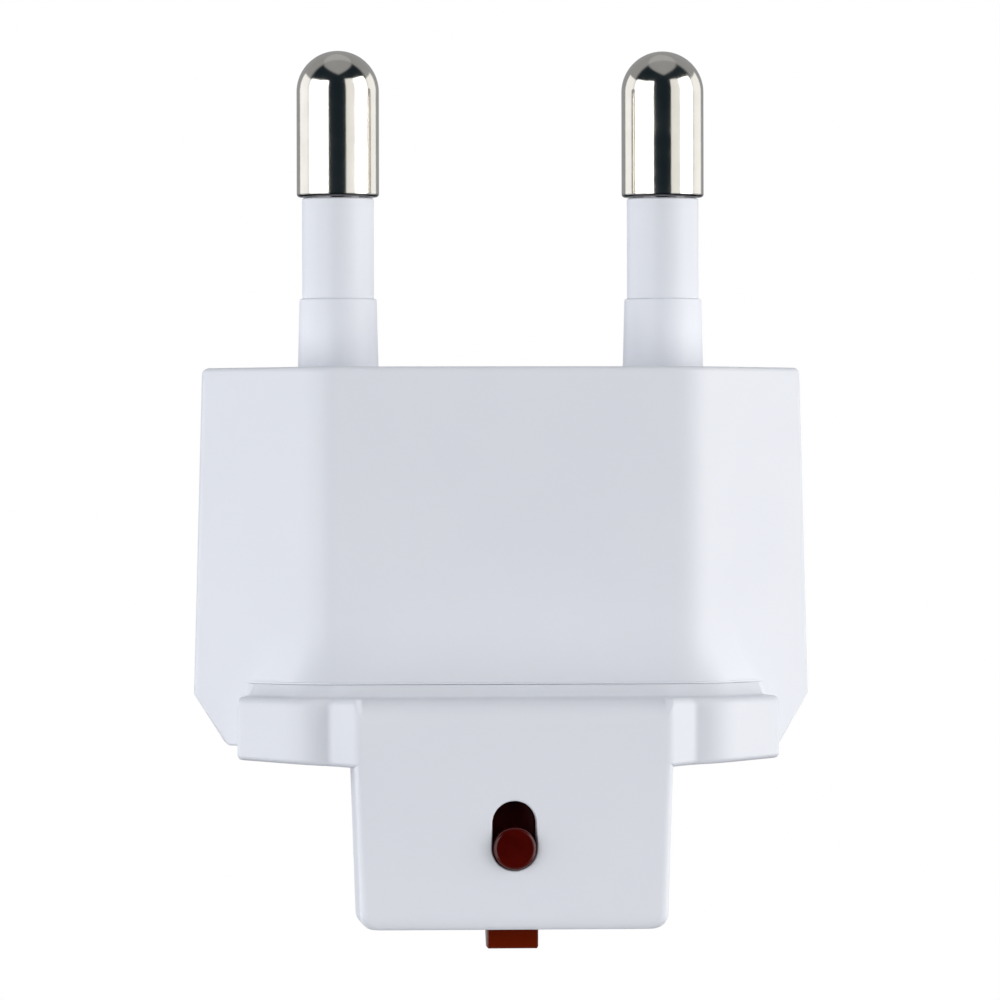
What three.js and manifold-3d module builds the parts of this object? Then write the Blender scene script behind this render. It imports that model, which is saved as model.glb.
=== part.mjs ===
// Interchangeable mains plug head: two insulated round pins on a flat-sided body, with a latching
// tongue at the front that slides into the power supply or meter that it feeds.
//
// Frame: millimetres. +Z is the way the pins point, -Y is the front (the side with the latch button)
// and the origin is on the engagement face, midway between the pins.

import * as THREE from "three";
import { mergeVertices } from "three/addons/utils/BufferGeometryUtils.js";
import Module from "manifold-3d";

const wasm = await Module();
wasm.setup();

// ---------------------------------------------------------------- driving dimensions

const PIN_SPACING = 19;
const PIN_RADIUS = 2.4;
const PIN_TIP = 18.51;
const METAL_FOOT = 9.97; // where the bare metal of a pin ends and its sleeve begins
const NECK_RADIUS = 1.75;
const TAIL_RADIUS = 1.5;
const TAIL_END = -7.2;
const FLANGE_RADIUS = 3;
const FLANGE_Z = [-3.4, -2.2];

const SLEEVE_TOP_RADIUS = 2.09;
const COLLAR_TOP = 4.03; // step between the thin upper sleeve and the stouter collar
const COLLAR_TOP_RADIUS = 2.25;
const COLLAR_FOOT_RADIUS = 2.35;

const BODY_TOP_HALF_WIDTH = 17.41;
const BODY_LOW_HALF_WIDTH = 17.93;
const BODY_HALF_DEPTH = 6.85;
const FLAT_HALF_WIDTH = 10.9; // the flat front and back, before the wings slope away
const FRONT_ROUND = 1.15; // reach of the corner between the flat front and a wing
const EDGE_HALF_DEPTH = 1.1; // the blunt side edges
const EDGE_ROUND = 0.3;
const EDGE_ROUND_SHARE = 0.9; // the rounding takes at most this share of an edge's half depth
const LEAST_EDGE = 0.25; // an outline set inwards keeps at least this half depth at its sides
const BODY_BOTTOM = -21.88;
const CORNER_TOP = -18.94; // the lower corners are cut off from here...
const CORNER_FOOT_HALF_WIDTH = 16.05; // ...to here
const TOP_EDGE_RADIUS = 0.35;
const FLOOR_EDGE = 0.15; // bevel round the underside
const WALL = 1.4;
const TOP_WALL = 1.6;
const FLOOR_TOP = -20.9;
const COVER_FRONT = 2.5; // the rear cover begins here

const FLARE_TOP = -14;
const SEAM = -18.26; // underside of the flare, where the latch housing begins
const FLARE_REACH = 1.5; // how far the flare stands out in front...
const FLARE_SPREAD = 0.5; // ...and how far its corners move outwards
const FLARED_ROUND = 2.1;
const WING_FOOT_ROUND = 0.45;
const WING_FOOT = 13.4; // a point on the plain wing that the flare carries out...
const WING_FOOT_FLARED = 14.9; // ...to where it dies away

const SEAM_GAP = 0.08;
const SHELF_BOTTOM = -22.95;
const SHELF_EDGE = 0.3; // rounding of the shelf's lower edge
const SHELF_FRONT = -9.45;
const SHELF_FLAT_HALF_WIDTH = 12.2; // beyond this the shelf's front runs parallel to the wing
const SHELF_HALF_WIDTH = 15.66;
const SHELF_REAR_HALF_WIDTH = 15.3;
const SHELF_CORNER = 0.35; // reach of the shelf's front corners...
const SHELF_TURN = 1.1; // ...and of the bend where its front leaves the flat
const SHELF_END_RISE = 0.35; // the shelf's underside climbs this much towards its ends...
const SHELF_END_SPAN = 6.2; // ...over this width
const BLOCK_HALF_WIDTH = 9; // the block above the tongue, which stands out from the shelf...
const BLOCK_FOOT_HALF_WIDTH = 10.45; // ...and slopes back to it
const BLOCK_CORNER = 0.35;
const BLOCK_FOOT_CORNER = 0.25;
const SEAM_BLOCK_INSETS = [0.4, 1.35]; // the seam's points above the block's corners, set in from them
const SEAM_TURN_SHARE = 0.9; // the seam turns to the wing this share of the way to its foot
const REAR_CORNER = 0.3; // behind the shelf, against the body
const CREASE = 0.1; // reach of a corner that looks sharp
const SHELF_CREASE = 0.05;
const STRIP_REACH = 0.7; // the strip just under the flare stands out this far...
const STRIP_DROP = 0.7; // ...and falls this much
const LEDGE_DROP = { shelf: 0.74, block: 0.78 }; // from the flare to the ledge's front
const LEDGE_ROUND = { shelf: 0.5, block: 1.25 }; // height of the roll between the ledge and the front
const TONGUE_FRONT = -10.8;
const TONGUE_BACK = -5;
const TONGUE_TOP_HALF_WIDTH = 9.15;
const TONGUE_LOW_HALF_WIDTH = 8.83;
const TONGUE_BOTTOM = -32.2;
const TONGUE_WALL = 1.3;
const TONGUE_CORNER = 0.9;
const TONGUE_FRONT_EDGE = 0.45;
const TONGUE_FRONT_ROUND = 0.55;
const TONGUE_REAR_ROUND = 0.4;
const TONGUE_INNER_HALF_WIDTH = 7.7;
const TONGUE_INNER_BOTTOM = TONGUE_BOTTOM + 1.2;
const TONGUE_INNER_FRONT = TONGUE_FRONT + TONGUE_WALL;
const SPRING_POCKET = { halfWidth: 1.3, front: -9.4 };

const SLOT_HALF_WIDTH = 1.28;
const SLOT_LOW = -28.83;
const SLOT_HIGH = -24.85;
const BUTTON_RADIUS = 1.21;
const BUTTON_Z = -27.55;
const BUTTON_FRONT = -11.25;
const BUTTON_RIM = 0.2;
const LATCH_AXIS_Y = -8.1;
const TIP_BOTTOM = -33.35;
const TIP_HALF_WIDTH = 1.46;
const TIP_FRONT = -9.1;
const TIP_BACK = -7.1;
const TIP_TOP = TONGUE_BOTTOM + 1.6;
const TIP_BEVEL = { depth: 0.65, height: 0.95 };
const TIP_EDGE = 0.1;
const TIP_CLEARANCE = 0.15;

const SLIDER_TOP = -24.4;
const SLIDER_FRONT = -8.5;
const SLIDER_BACK = -7;
const SLIDER_HALF_WIDTH = 3.2;
const SPRING_FOOT = { halfWidth: 1.25, front: -9.2, height: 0.35 };
const SPIGOT = { radius: 0.5, height: 0.9 }; // centres the spring
const SPRING_SEAT = -20.4;
const SPRING_RADIUS = 0.85;
const SPRING_WIRE_RADIUS = 0.12;
const SPRING_TURNS = 6.5;
const SPRING_END_GAP = 0.03;
const SPRING_TURN_GAP = 0.02; // between the closed turn at each end and the next

const CONTACT_X = PIN_SPACING / 2;
const STRIP_WIDTH = 4.2;
const BUSBAR_THICKNESS = 0.8;
const BUSBAR_BACK = 3.4;
const CLIP_THICKNESS = 0.35;
const RIVET_Z = -14.5;
const RIVET_RADIUS = 0.6;
const RIVET_HEAD_RADIUS = 1;
const CLIP_INNER_LEG = -1.7; // centre line of the clip's front leg; the rear one lies on the busbar

const SNUG = 0.05; // gap between two fixed pieces that touch
const FIT = WALL + 0.15; // inset of a piece that fits inside the body
const PAST = 0.5; // how far a cut or an inner piece runs past the face that it goes through
const FAR = 20; // well outside the body
const ROUND = 24; // segments in a full turn
const SMALL_ROUND = 16; // the same for screws and rivets
const ARC = 3; // segments in each rounded corner

// ---------------------------------------------------------------- materials

const plastic = (color, roughness) => new THREE.MeshStandardMaterial({ color, roughness, metalness: 0 });
const metal = (color, roughness) => new THREE.MeshStandardMaterial({ color, roughness, metalness: 1 });

const WHITE = () => plastic(0xdde0e6, 0.45);
const DARK_RED = () => plastic(0x4a0a05, 0.35);
const CARRIER_GREY = () => plastic(0x3a3d41, 0.6);
const NICKEL = () => metal(0xcfcac0, 0.15);
const BRASS = () => metal(0xc09a4a, 0.35);
const BRONZE = () => metal(0xb9794a, 0.35);
const SPRING_STEEL = () => metal(0xb7babd, 0.3);
const SCREW_STEEL = () => metal(0x9a9c9f, 0.35);

// ---------------------------------------------------------------- solids and shapes

function solid(geometry) {
  const bare = geometry.index ? geometry.toNonIndexed() : geometry.clone();
  bare.deleteAttribute("normal");
  bare.deleteAttribute("uv");
  const merged = mergeVertices(bare, 1e-4);
  const vertProperties = new Float32Array(merged.attributes.position.array);
  const triVerts = new Uint32Array(merged.index.array);
  return new wasm.Manifold(new wasm.Mesh({ numProp: 3, vertProperties, triVerts }));
}

function geometryOf(body) {
  const mesh = body.getMesh();
  const geometry = new THREE.BufferGeometry();
  geometry.setAttribute("position", new THREE.BufferAttribute(mesh.vertProperties, 3));
  geometry.setIndex(new THREE.BufferAttribute(mesh.triVerts, 1));
  geometry.computeVertexNormals();
  return geometry;
}

const joined = (first, ...others) => others.reduce((sum, other) => sum.add(other), first);
const cut = (first, ...others) => others.reduce((rest, other) => rest.subtract(other), first);

function block([x0, x1], [y0, y1], [z0, z1]) {
  const geometry = new THREE.BoxGeometry(x1 - x0, y1 - y0, z1 - z0);
  return solid(geometry.translate((x0 + x1) / 2, (y0 + y1) / 2, (z0 + z1) / 2));
}

function rodAlongZ(radius, x, y, [z0, z1]) {
  const geometry = new THREE.CylinderGeometry(radius, radius, z1 - z0, ROUND).rotateX(Math.PI / 2);
  return solid(geometry.translate(x, y, (z0 + z1) / 2));
}

function rodAlongY(radius, x, z, [y0, y1]) {
  const geometry = new THREE.CylinderGeometry(radius, radius, y1 - y0, ROUND);
  return solid(geometry.translate(x, (y0 + y1) / 2, z));
}

// A turned piece about Z, from [radius, height] pairs that start and end on the axis or close on
// themselves, listed from the lowest outer point upwards.
function turned(profile, segments = ROUND) {
  const points = profile.map(([radius, height]) => new THREE.Vector2(radius, height));
  return new THREE.LatheGeometry(points, segments).rotateX(Math.PI / 2);
}

// Points along a polyline whose corners, given as [x, y, reach], are eased over that reach.
function easedCorners(corners, isClosed) {
  const points = [];
  corners.forEach(([x, y, reach], index) => {
    const here = new THREE.Vector2(x, y);
    const isEnd = !isClosed && (index === 0 || index === corners.length - 1);
    if (isEnd) {
      points.push(here);
      return;
    }
    const before = corners.at(index - 1);
    const after = corners[(index + 1) % corners.length];
    const start = new THREE.Vector2(before[0], before[1]).sub(here).setLength(reach).add(here);
    const end = new THREE.Vector2(after[0], after[1]).sub(here).setLength(reach).add(here);
    points.push(...new THREE.QuadraticBezierCurve(start, here, end).getPoints(ARC));
  });
  return points;
}

// The right half of an outline, from the front to the back, with its mirror image on the left.
const withMirror = (half) => [...half, ...half.map(([x, y, reach]) => [-x, y, reach]).reverse()];

// A closed body through outlines stacked upwards, each a list of Vector3 of the same length.
function loft(sections) {
  const count = sections[0].length;
  const positions = sections.flatMap((section) => section.flatMap((point) => point.toArray()));
  const index = [];
  for (let level = 0; level < sections.length - 1; level += 1) {
    for (let i = 0; i < count; i += 1) {
      const low = level * count + i;
      const lowNext = level * count + ((i + 1) % count);
      index.push(low, lowNext, lowNext + count, low, lowNext + count, low + count);
    }
  }
  const top = (sections.length - 1) * count;
  const flat = (section) => section.map((point) => new THREE.Vector2(point.x, point.y));
  THREE.ShapeUtils.triangulateShape(flat(sections[0]), []).forEach(([a, b, c]) => {
    index.push(a, c, b);
  });
  THREE.ShapeUtils.triangulateShape(flat(sections.at(-1)), []).forEach(([a, b, c]) => {
    index.push(top + a, top + b, top + c);
  });
  const geometry = new THREE.BufferGeometry();
  geometry.setAttribute("position", new THREE.Float32BufferAttribute(positions, 3));
  geometry.setIndex(index);
  return solid(geometry);
}

const atHeight = (outline, z) => outline.map((point) => new THREE.Vector3(point.x, point.y, z));

// A side profile of [y, z] points drawn out along X, centred on x.
function acrossX(outline, x, width) {
  const geometry = new THREE.ExtrudeGeometry(new THREE.Shape(outline), {
    depth: width,
    bevelEnabled: false,
  });
  const sideways = new THREE.Matrix4().makeBasis(
    new THREE.Vector3(0, 1, 0),
    new THREE.Vector3(0, 0, 1),
    new THREE.Vector3(1, 0, 0),
  );
  return solid(geometry.applyMatrix4(sideways).translate(x - width / 2, 0, 0));
}

// The outline of a bent strip of one thickness about its centre line.
function stripOutline(centreLine, thickness) {
  const sides = [1, -1].map((side) =>
    centreLine.map((point, i) => {
      const before = centreLine[Math.max(i - 1, 0)];
      const after = centreLine[Math.min(i + 1, centreLine.length - 1)];
      const along = after.clone().sub(before).normalize();
      return point.clone().add(new THREE.Vector2(-along.y, along.x).multiplyScalar((side * thickness) / 2));
    }),
  );
  return [...sides[1], ...sides[0].reverse()];
}

// ---------------------------------------------------------------- body outlines

const WING_SLOPE = (BODY_HALF_DEPTH - EDGE_HALF_DEPTH) / (BODY_TOP_HALF_WIDTH - FLAT_HALF_WIDTH);
const wingDepth = (x) => BODY_HALF_DEPTH - (x - FLAT_HALF_WIDTH) * WING_SLOPE;

function bodyHalfWidth(z) {
  if (z >= CORNER_TOP) {
    return THREE.MathUtils.mapLinear(z, 0, CORNER_TOP, BODY_TOP_HALF_WIDTH, BODY_LOW_HALF_WIDTH);
  }
  return THREE.MathUtils.mapLinear(z, CORNER_TOP, BODY_BOTTOM, BODY_LOW_HALF_WIDTH, CORNER_FOOT_HALF_WIDTH);
}

// The body's outline at one height, moved inwards by inset. flare runs from 0 (plain) to 1 (the
// front is swept out to its full reach, and its corners out along the wings).
function bodyOutline(z, inset, flare) {
  const wing = Math.atan(WING_SLOPE);
  const setIn = inset / Math.cos(wing);
  const flatX = FLAT_HALF_WIDTH - inset * Math.tan(wing / 2);
  const flatY = BODY_HALF_DEPTH - inset;
  const footX = THREE.MathUtils.lerp(WING_FOOT, WING_FOOT_FLARED, flare);
  const widest = FLAT_HALF_WIDTH + (BODY_HALF_DEPTH - LEAST_EDGE - setIn) / WING_SLOPE;
  const edgeX = Math.min(bodyHalfWidth(z) - inset, widest);
  const edgeY = wingDepth(edgeX) - setIn;
  const edgeRound = Math.min(EDGE_ROUND, EDGE_ROUND_SHARE * edgeY);
  const frontRound = THREE.MathUtils.lerp(FRONT_ROUND, FLARED_ROUND, flare);
  const half = [
    [flatX + FLARE_SPREAD * flare, -flatY - FLARE_REACH * flare, frontRound],
    [footX, setIn - wingDepth(footX), WING_FOOT_ROUND],
    [edgeX, -edgeY, edgeRound],
    [edgeX, edgeY, edgeRound],
    [flatX, flatY, FRONT_ROUND],
  ];
  return atHeight(easedCorners(withMirror(half), true), z);
}

function bodyEnvelope(isFlared) {
  const sections = [
    bodyOutline(BODY_BOTTOM, FLOOR_EDGE, 0),
    bodyOutline(BODY_BOTTOM + FLOOR_EDGE, 0, 0),
    bodyOutline(CORNER_TOP, 0, 0),
  ];
  if (isFlared) {
    // the flare is a circular sweep, steepest at the seam, that stops square above the ledge
    const hair = 0.001;
    sections.push(bodyOutline(SEAM - hair, 0, 0));
    const height = FLARE_TOP - SEAM;
    const sweep = 2 * Math.atan(FLARE_REACH / height);
    const steps = 5;
    for (let i = steps; i >= 0; i -= 1) {
      const angle = (sweep * i) / steps;
      const z = FLARE_TOP - (height * Math.sin(angle)) / Math.sin(sweep);
      sections.push(bodyOutline(z, 0, (1 - Math.cos(angle)) / (1 - Math.cos(sweep))));
    }
  }
  for (let i = 0; i <= ARC; i += 1) {
    const angle = (Math.PI / 2) * (i / ARC);
    const z = TOP_EDGE_RADIUS * (Math.sin(angle) - 1);
    sections.push(bodyOutline(z, TOP_EDGE_RADIUS * (1 - Math.cos(angle)), 0));
  }
  return loft(sections);
}

const bodyCavity = (top) => loft([FLOOR_TOP, CORNER_TOP, top].map((z) => bodyOutline(z, WALL, 0)));

// ---------------------------------------------------------------- housings and covers

const SCREW_POSTS = [-8.6, -17.5]; // heights of the two screws that hold the rear cover
const POST_RADIUS = 2.1;
const COVER_POST_RADIUS = 2.3;
const HEAD_RECESS_RADIUS = 1.7;
const HEAD_SEAT_Y = 4.45;
const SHELF_SCREW = { x: 5.2, z: -19.9, hole: 0.65, end: -9.1 };
const COVER_SCREW = {
  x: 5.9,
  z: -28.8,
  hole: 0.8,
  pilot: 0.7,
  post: 1.5,
  recess: 1.45,
  sunk: 0.95,
  end: -9.3,
};
const PORT_HALF_WIDTH = 2.4; // the openings in the floor for the supply's two blades
const PORT_Y = [-0.8, 0.8];

const PILOT_RADIUS = 0.85;
const PILOT_END = -3.8;
const COVER_HOLE_RADIUS = 0.95;
const FRONT_RIB_Y = [-6, -3.2];
const REAR_RIB_Y = [4, 6];
const RIB_X = [5, 6];
const UPPER_RIB_Z = [-6.2, -4.8]; // under the retainer plate
const LOWER_RIB_Z = [-13.1, -12]; // over the contact carrier

// The same range on the right side, or its mirror image on the left.
const onSide = (side, [near, far]) => (side > 0 ? [near, far] : [-far, -near]);

function inwardRibs(yRange) {
  return [-1, 1].flatMap((side) =>
    [UPPER_RIB_Z, LOWER_RIB_Z].map((zRange) => block(onSide(side, RIB_X), yRange, zRange)),
  );
}

function mainHousing() {
  const postFront = -BODY_HALF_DEPTH + WALL / 2;
  const posts = SCREW_POSTS.map((z) => rodAlongY(POST_RADIUS, 0, z, [postFront, 0]));
  const pilots = SCREW_POSTS.map((z) => rodAlongY(PILOT_RADIUS, 0, z, [PILOT_END, PAST]));
  const openings = [-1, 1].flatMap((side) => {
    const x = side * CONTACT_X;
    const screwY = [-BODY_HALF_DEPTH - PAST, TONGUE_BACK];
    return [
      rodAlongZ(COLLAR_FOOT_RADIUS + SNUG, x, 0, [-TOP_WALL - PAST, PAST]),
      block([x - PORT_HALF_WIDTH, x + PORT_HALF_WIDTH], PORT_Y, [BODY_BOTTOM - PAST, FLOOR_TOP + PAST]),
      rodAlongY(SHELF_SCREW.hole, side * SHELF_SCREW.x, SHELF_SCREW.z, screwY),
    ];
  });
  const behindCover = block([-FAR, FAR], [COVER_FRONT - SNUG, FAR], [-2 * FAR, -TOP_WALL - SNUG]);
  const shell = cut(bodyEnvelope(true), bodyCavity(-TOP_WALL), behindCover);
  return cut(joined(shell, ...posts, ...inwardRibs(FRONT_RIB_Y)), ...pilots, ...openings);
}

function rearCover() {
  const region = block([-FAR, FAR], [COVER_FRONT, FAR], [-2 * FAR, -TOP_WALL - 2 * SNUG]);
  const shell = bodyEnvelope(false).intersect(region).subtract(bodyCavity(-TOP_WALL + PAST));
  const postBack = BODY_HALF_DEPTH - WALL / 2;
  const posts = SCREW_POSTS.map((z) => rodAlongY(COVER_POST_RADIUS, 0, z, [SNUG, postBack]));
  const holes = SCREW_POSTS.map((z) => rodAlongY(COVER_HOLE_RADIUS, 0, z, [-PAST, HEAD_SEAT_Y + PAST]));
  const headRecesses = SCREW_POSTS.map((z) => rodAlongY(HEAD_RECESS_RADIUS, 0, z, [HEAD_SEAT_Y, FAR]));
  return cut(joined(shell, ...posts, ...inwardRibs(REAR_RIB_Y)), ...holes, ...headRecesses);
}

// The line under the flare where the ledge starts.
function seamOutline() {
  const seamY = -BODY_HALF_DEPTH - FLARE_REACH;
  const cornerX = FLAT_HALF_WIDTH + FLARE_SPREAD;
  const foot = new THREE.Vector2(WING_FOOT_FLARED, -wingDepth(WING_FOOT_FLARED) - 2 * SNUG);
  const nearFoot = new THREE.Vector2(cornerX, seamY).lerp(foot, SEAM_TURN_SHARE);
  const half = [
    [BLOCK_HALF_WIDTH - SEAM_BLOCK_INSETS[0], seamY, CREASE],
    [BLOCK_FOOT_HALF_WIDTH - SEAM_BLOCK_INSETS[1], seamY, CREASE],
    [cornerX, seamY, FLARED_ROUND],
    [nearFoot.x, nearFoot.y, CREASE],
    [foot.x, foot.y, SHELF_CREASE],
    [FLAT_HALF_WIDTH, -BODY_HALF_DEPTH - SNUG, REAR_CORNER],
  ];
  return easedCorners(withMirror(half), true);
}

// The shelf's outline below the ledge, moved inwards by inset, corner for corner with the seam.
function shelfOutline(inset) {
  const endY = SHELF_FRONT + (SHELF_HALF_WIDTH - SHELF_FLAT_HALF_WIDTH) * WING_SLOPE;
  const rearX = SHELF_REAR_HALF_WIDTH - inset;
  const half = [
    [BLOCK_HALF_WIDTH - inset, TONGUE_FRONT + inset, BLOCK_CORNER],
    [BLOCK_FOOT_HALF_WIDTH - inset, SHELF_FRONT + inset, BLOCK_FOOT_CORNER],
    [SHELF_FLAT_HALF_WIDTH - inset, SHELF_FRONT + inset, SHELF_TURN],
    [SHELF_HALF_WIDTH - inset, endY + inset, SHELF_CORNER],
    [rearX, -wingDepth(rearX) - 2 * SNUG, SHELF_CREASE],
    [FLAT_HALF_WIDTH, -BODY_HALF_DEPTH - 2 * SNUG, REAR_CORNER],
  ];
  return easedCorners(withMirror(half), true);
}

// The ledge, from the front up to the seam: a rolled edge, a narrow step and a steep strip.
function ledgeSections() {
  const { lerp, smoothstep } = THREE.MathUtils;
  const outer = shelfOutline(0);
  const top = SEAM - SEAM_GAP;
  const [cornerStart, cornerEnd] = [BLOCK_HALF_WIDTH - BLOCK_CORNER, BLOCK_HALF_WIDTH + BLOCK_CORNER / 2];
  const places = seamOutline().map((seam, i) => {
    const reach = seam.distanceTo(outer[i]);
    const offBlock = smoothstep(Math.abs(outer[i].x), cornerStart, cornerEnd);
    const round = lerp(LEDGE_ROUND.block, LEDGE_ROUND.shelf, offBlock);
    const drop = lerp(LEDGE_DROP.block, LEDGE_DROP.shelf, offBlock);
    const at = (out, z) => {
      const { x, y } = seam.clone().lerp(outer[i], out / reach);
      return new THREE.Vector3(x, y, z);
    };
    return { reach, round, drop, at };
  });
  const edge = [0, 30, 60, 90].map((degrees) => {
    const angle = THREE.MathUtils.degToRad(degrees);
    return places.map(({ reach, round, drop, at }) => {
      const back = Math.min(round, reach / 2) * (1 - Math.cos(angle));
      return at(reach - back, top - drop - round * (1 - Math.sin(angle)));
    });
  });
  const strip = places.map(({ reach, at }) => at(Math.min(STRIP_REACH, reach / 2), top - STRIP_DROP));
  return [...edge, strip, places.map(({ at }) => at(0, top))];
}

function shelfBody() {
  const underside = (point) => {
    const beyond = (Math.abs(point.x) - TONGUE_TOP_HALF_WIDTH) / SHELF_END_SPAN;
    return SHELF_BOTTOM + SHELF_END_RISE * THREE.MathUtils.clamp(beyond, 0, 1);
  };
  const lowEdge = [0, 45, 90].map((degrees) => {
    const angle = THREE.MathUtils.degToRad(degrees);
    const lift = SHELF_EDGE * (1 - Math.cos(angle));
    return shelfOutline(SHELF_EDGE * (1 - Math.sin(angle))).map(
      (point) => new THREE.Vector3(point.x, point.y, underside(point) + lift),
    );
  });
  return loft([...lowEdge, ...ledgeSections()]);
}

function tongueBody() {
  const outline = (halfWidth, inset) =>
    easedCorners(
      withMirror([
        [halfWidth, TONGUE_FRONT + inset, TONGUE_FRONT_ROUND],
        [halfWidth, TONGUE_BACK - inset, TONGUE_REAR_ROUND],
      ]),
      true,
    );
  const sections = [];
  for (let i = 0; i <= ARC; i += 1) {
    const angle = (Math.PI / 2) * (i / ARC);
    const short = 1 - Math.sin(angle);
    const z = TONGUE_BOTTOM + TONGUE_CORNER * (1 - Math.cos(angle));
    const halfWidth = TONGUE_LOW_HALF_WIDTH - TONGUE_CORNER * short;
    sections.push(atHeight(outline(halfWidth, TONGUE_FRONT_EDGE * short), z));
  }
  sections.push(atHeight(outline(TONGUE_TOP_HALF_WIDTH, 0), BODY_BOTTOM - SNUG));
  return loft(sections);
}

function slotOpening() {
  const slot = new THREE.Shape();
  slot.absarc(0, SLOT_HIGH - SLOT_HALF_WIDTH, SLOT_HALF_WIDTH, 0, Math.PI, false);
  slot.absarc(0, SLOT_LOW + SLOT_HALF_WIDTH, SLOT_HALF_WIDTH, Math.PI, 2 * Math.PI, false);
  const depth = TONGUE_WALL + 2 * PAST;
  const geometry = new THREE.ExtrudeGeometry(slot, { depth, bevelEnabled: false, curveSegments: ROUND / 2 });
  return solid(geometry.rotateX(Math.PI / 2).translate(0, TONGUE_FRONT - PAST + depth, 0));
}

const GUIDE_X = [3.35, 4.15]; // the rails at the sides of the latch
const PAD_X = [2.2, 3]; // the pads that it slides on in front
const INSIDE_BACK = -6.4; // the latch cover starts just behind
const ROOT = 0.2; // how far an inner rib is sunk into its wall
const RAIL_TOP = -23;

function latchHousing() {
  const innerTop = BODY_BOTTOM - SNUG;
  const innerX = [-TONGUE_INNER_HALF_WIDTH, TONGUE_INNER_HALF_WIDTH];
  const pocketX = [-SPRING_POCKET.halfWidth, SPRING_POCKET.halfWidth];
  const ribFront = TONGUE_INNER_FRONT - ROOT;
  const hollow = block(innerX, [TONGUE_INNER_FRONT, TONGUE_BACK + PAST], [TONGUE_INNER_BOTTOM, innerTop]);
  const springPocket = block(pocketX, [SPRING_POCKET.front, TONGUE_BACK], [innerTop - PAST, SPRING_SEAT]);
  const tipHalfWidth = TIP_HALF_WIDTH + TIP_CLEARANCE;
  const tipOpening = block(
    [-tipHalfWidth, tipHalfWidth],
    [TIP_FRONT - TIP_CLEARANCE, TIP_BACK + TIP_CLEARANCE],
    [TONGUE_BOTTOM - PAST, TONGUE_INNER_BOTTOM + PAST],
  );
  const railZ = [TONGUE_INNER_BOTTOM - ROOT, RAIL_TOP];
  const inside = [-1, 1].flatMap((side) => [
    block(onSide(side, GUIDE_X), [ribFront, INSIDE_BACK], railZ),
    block(onSide(side, PAD_X), [ribFront, SLIDER_FRONT - 2 * SNUG], railZ),
    rodAlongY(COVER_SCREW.post, side * COVER_SCREW.x, COVER_SCREW.z, [ribFront, INSIDE_BACK]),
  ]);
  const pilots = [-1, 1].flatMap((side) => [
    rodAlongY(COVER_SCREW.pilot, side * COVER_SCREW.x, COVER_SCREW.z, [COVER_SCREW.end, INSIDE_BACK + PAST]),
    rodAlongY(SHELF_SCREW.hole, side * SHELF_SCREW.x, SHELF_SCREW.z, [SHELF_SCREW.end, INSIDE_BACK + PAST]),
  ]);
  const shell = cut(joined(shelfBody(), tongueBody()), hollow, springPocket);
  return cut(joined(shell, ...inside), slotOpening(), tipOpening, ...pilots);
}

const LATCH_COVER_FRONT = -6.35;
const LATCH_COVER_BOTTOM = TONGUE_INNER_BOTTOM + SNUG;

function latchCover() {
  const halfWidth = TONGUE_INNER_HALF_WIDTH - SNUG;
  const zRange = [LATCH_COVER_BOTTOM, BODY_BOTTOM - 2 * SNUG];
  const plate = block([-halfWidth, halfWidth], [LATCH_COVER_FRONT, TONGUE_BACK], zRange);
  const outside = TONGUE_BACK + PAST;
  const holes = [-1, 1].flatMap((side) => {
    const x = side * COVER_SCREW.x;
    return [
      rodAlongY(COVER_SCREW.hole, x, COVER_SCREW.z, [LATCH_COVER_FRONT - PAST, outside]),
      rodAlongY(COVER_SCREW.recess, x, COVER_SCREW.z, [TONGUE_BACK - COVER_SCREW.sunk, outside]),
    ];
  });
  return cut(plate, ...holes);
}

// ---------------------------------------------------------------- latch

function latchSlider() {
  const bottom = TONGUE_INNER_BOTTOM + SNUG;
  const width = [-SLIDER_HALF_WIDTH, SLIDER_HALF_WIDTH];
  const plate = block(width, [SLIDER_FRONT, SLIDER_BACK], [bottom, SLIDER_TOP]);
  const footX = [-SPRING_FOOT.halfWidth, SPRING_FOOT.halfWidth];
  const footZ = [SLIDER_TOP - SPRING_FOOT.height, SLIDER_TOP];
  const springFoot = block(footX, [SPRING_FOOT.front, SLIDER_BACK], footZ);
  const button = rodAlongY(BUTTON_RADIUS, 0, BUTTON_Z, [BUTTON_FRONT + BUTTON_RIM, SLIDER_FRONT + PAST]);
  const buttonFace = rodAlongY(BUTTON_RADIUS - BUTTON_RIM, 0, BUTTON_Z, [BUTTON_FRONT, SLIDER_FRONT]);
  const spigotZ = [SLIDER_TOP - PAST, SLIDER_TOP + SPIGOT.height];
  const spigot = rodAlongZ(SPIGOT.radius, 0, LATCH_AXIS_Y, spigotZ);
  // the tip's back is bevelled, so that it rides over the catch as the tongue goes in
  const tipProfile = [
    new THREE.Vector2(TIP_FRONT, TIP_BOTTOM + TIP_EDGE),
    new THREE.Vector2(TIP_FRONT + TIP_EDGE, TIP_BOTTOM),
    new THREE.Vector2(TIP_BACK - TIP_BEVEL.depth, TIP_BOTTOM),
    new THREE.Vector2(TIP_BACK, TIP_BOTTOM + TIP_BEVEL.height),
    new THREE.Vector2(TIP_BACK, TIP_TOP),
    new THREE.Vector2(TIP_FRONT, TIP_TOP),
  ];
  const tip = acrossX(tipProfile, 0, 2 * TIP_HALF_WIDTH);
  return joined(plate, springFoot, button, buttonFace, spigot, tip);
}

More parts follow.
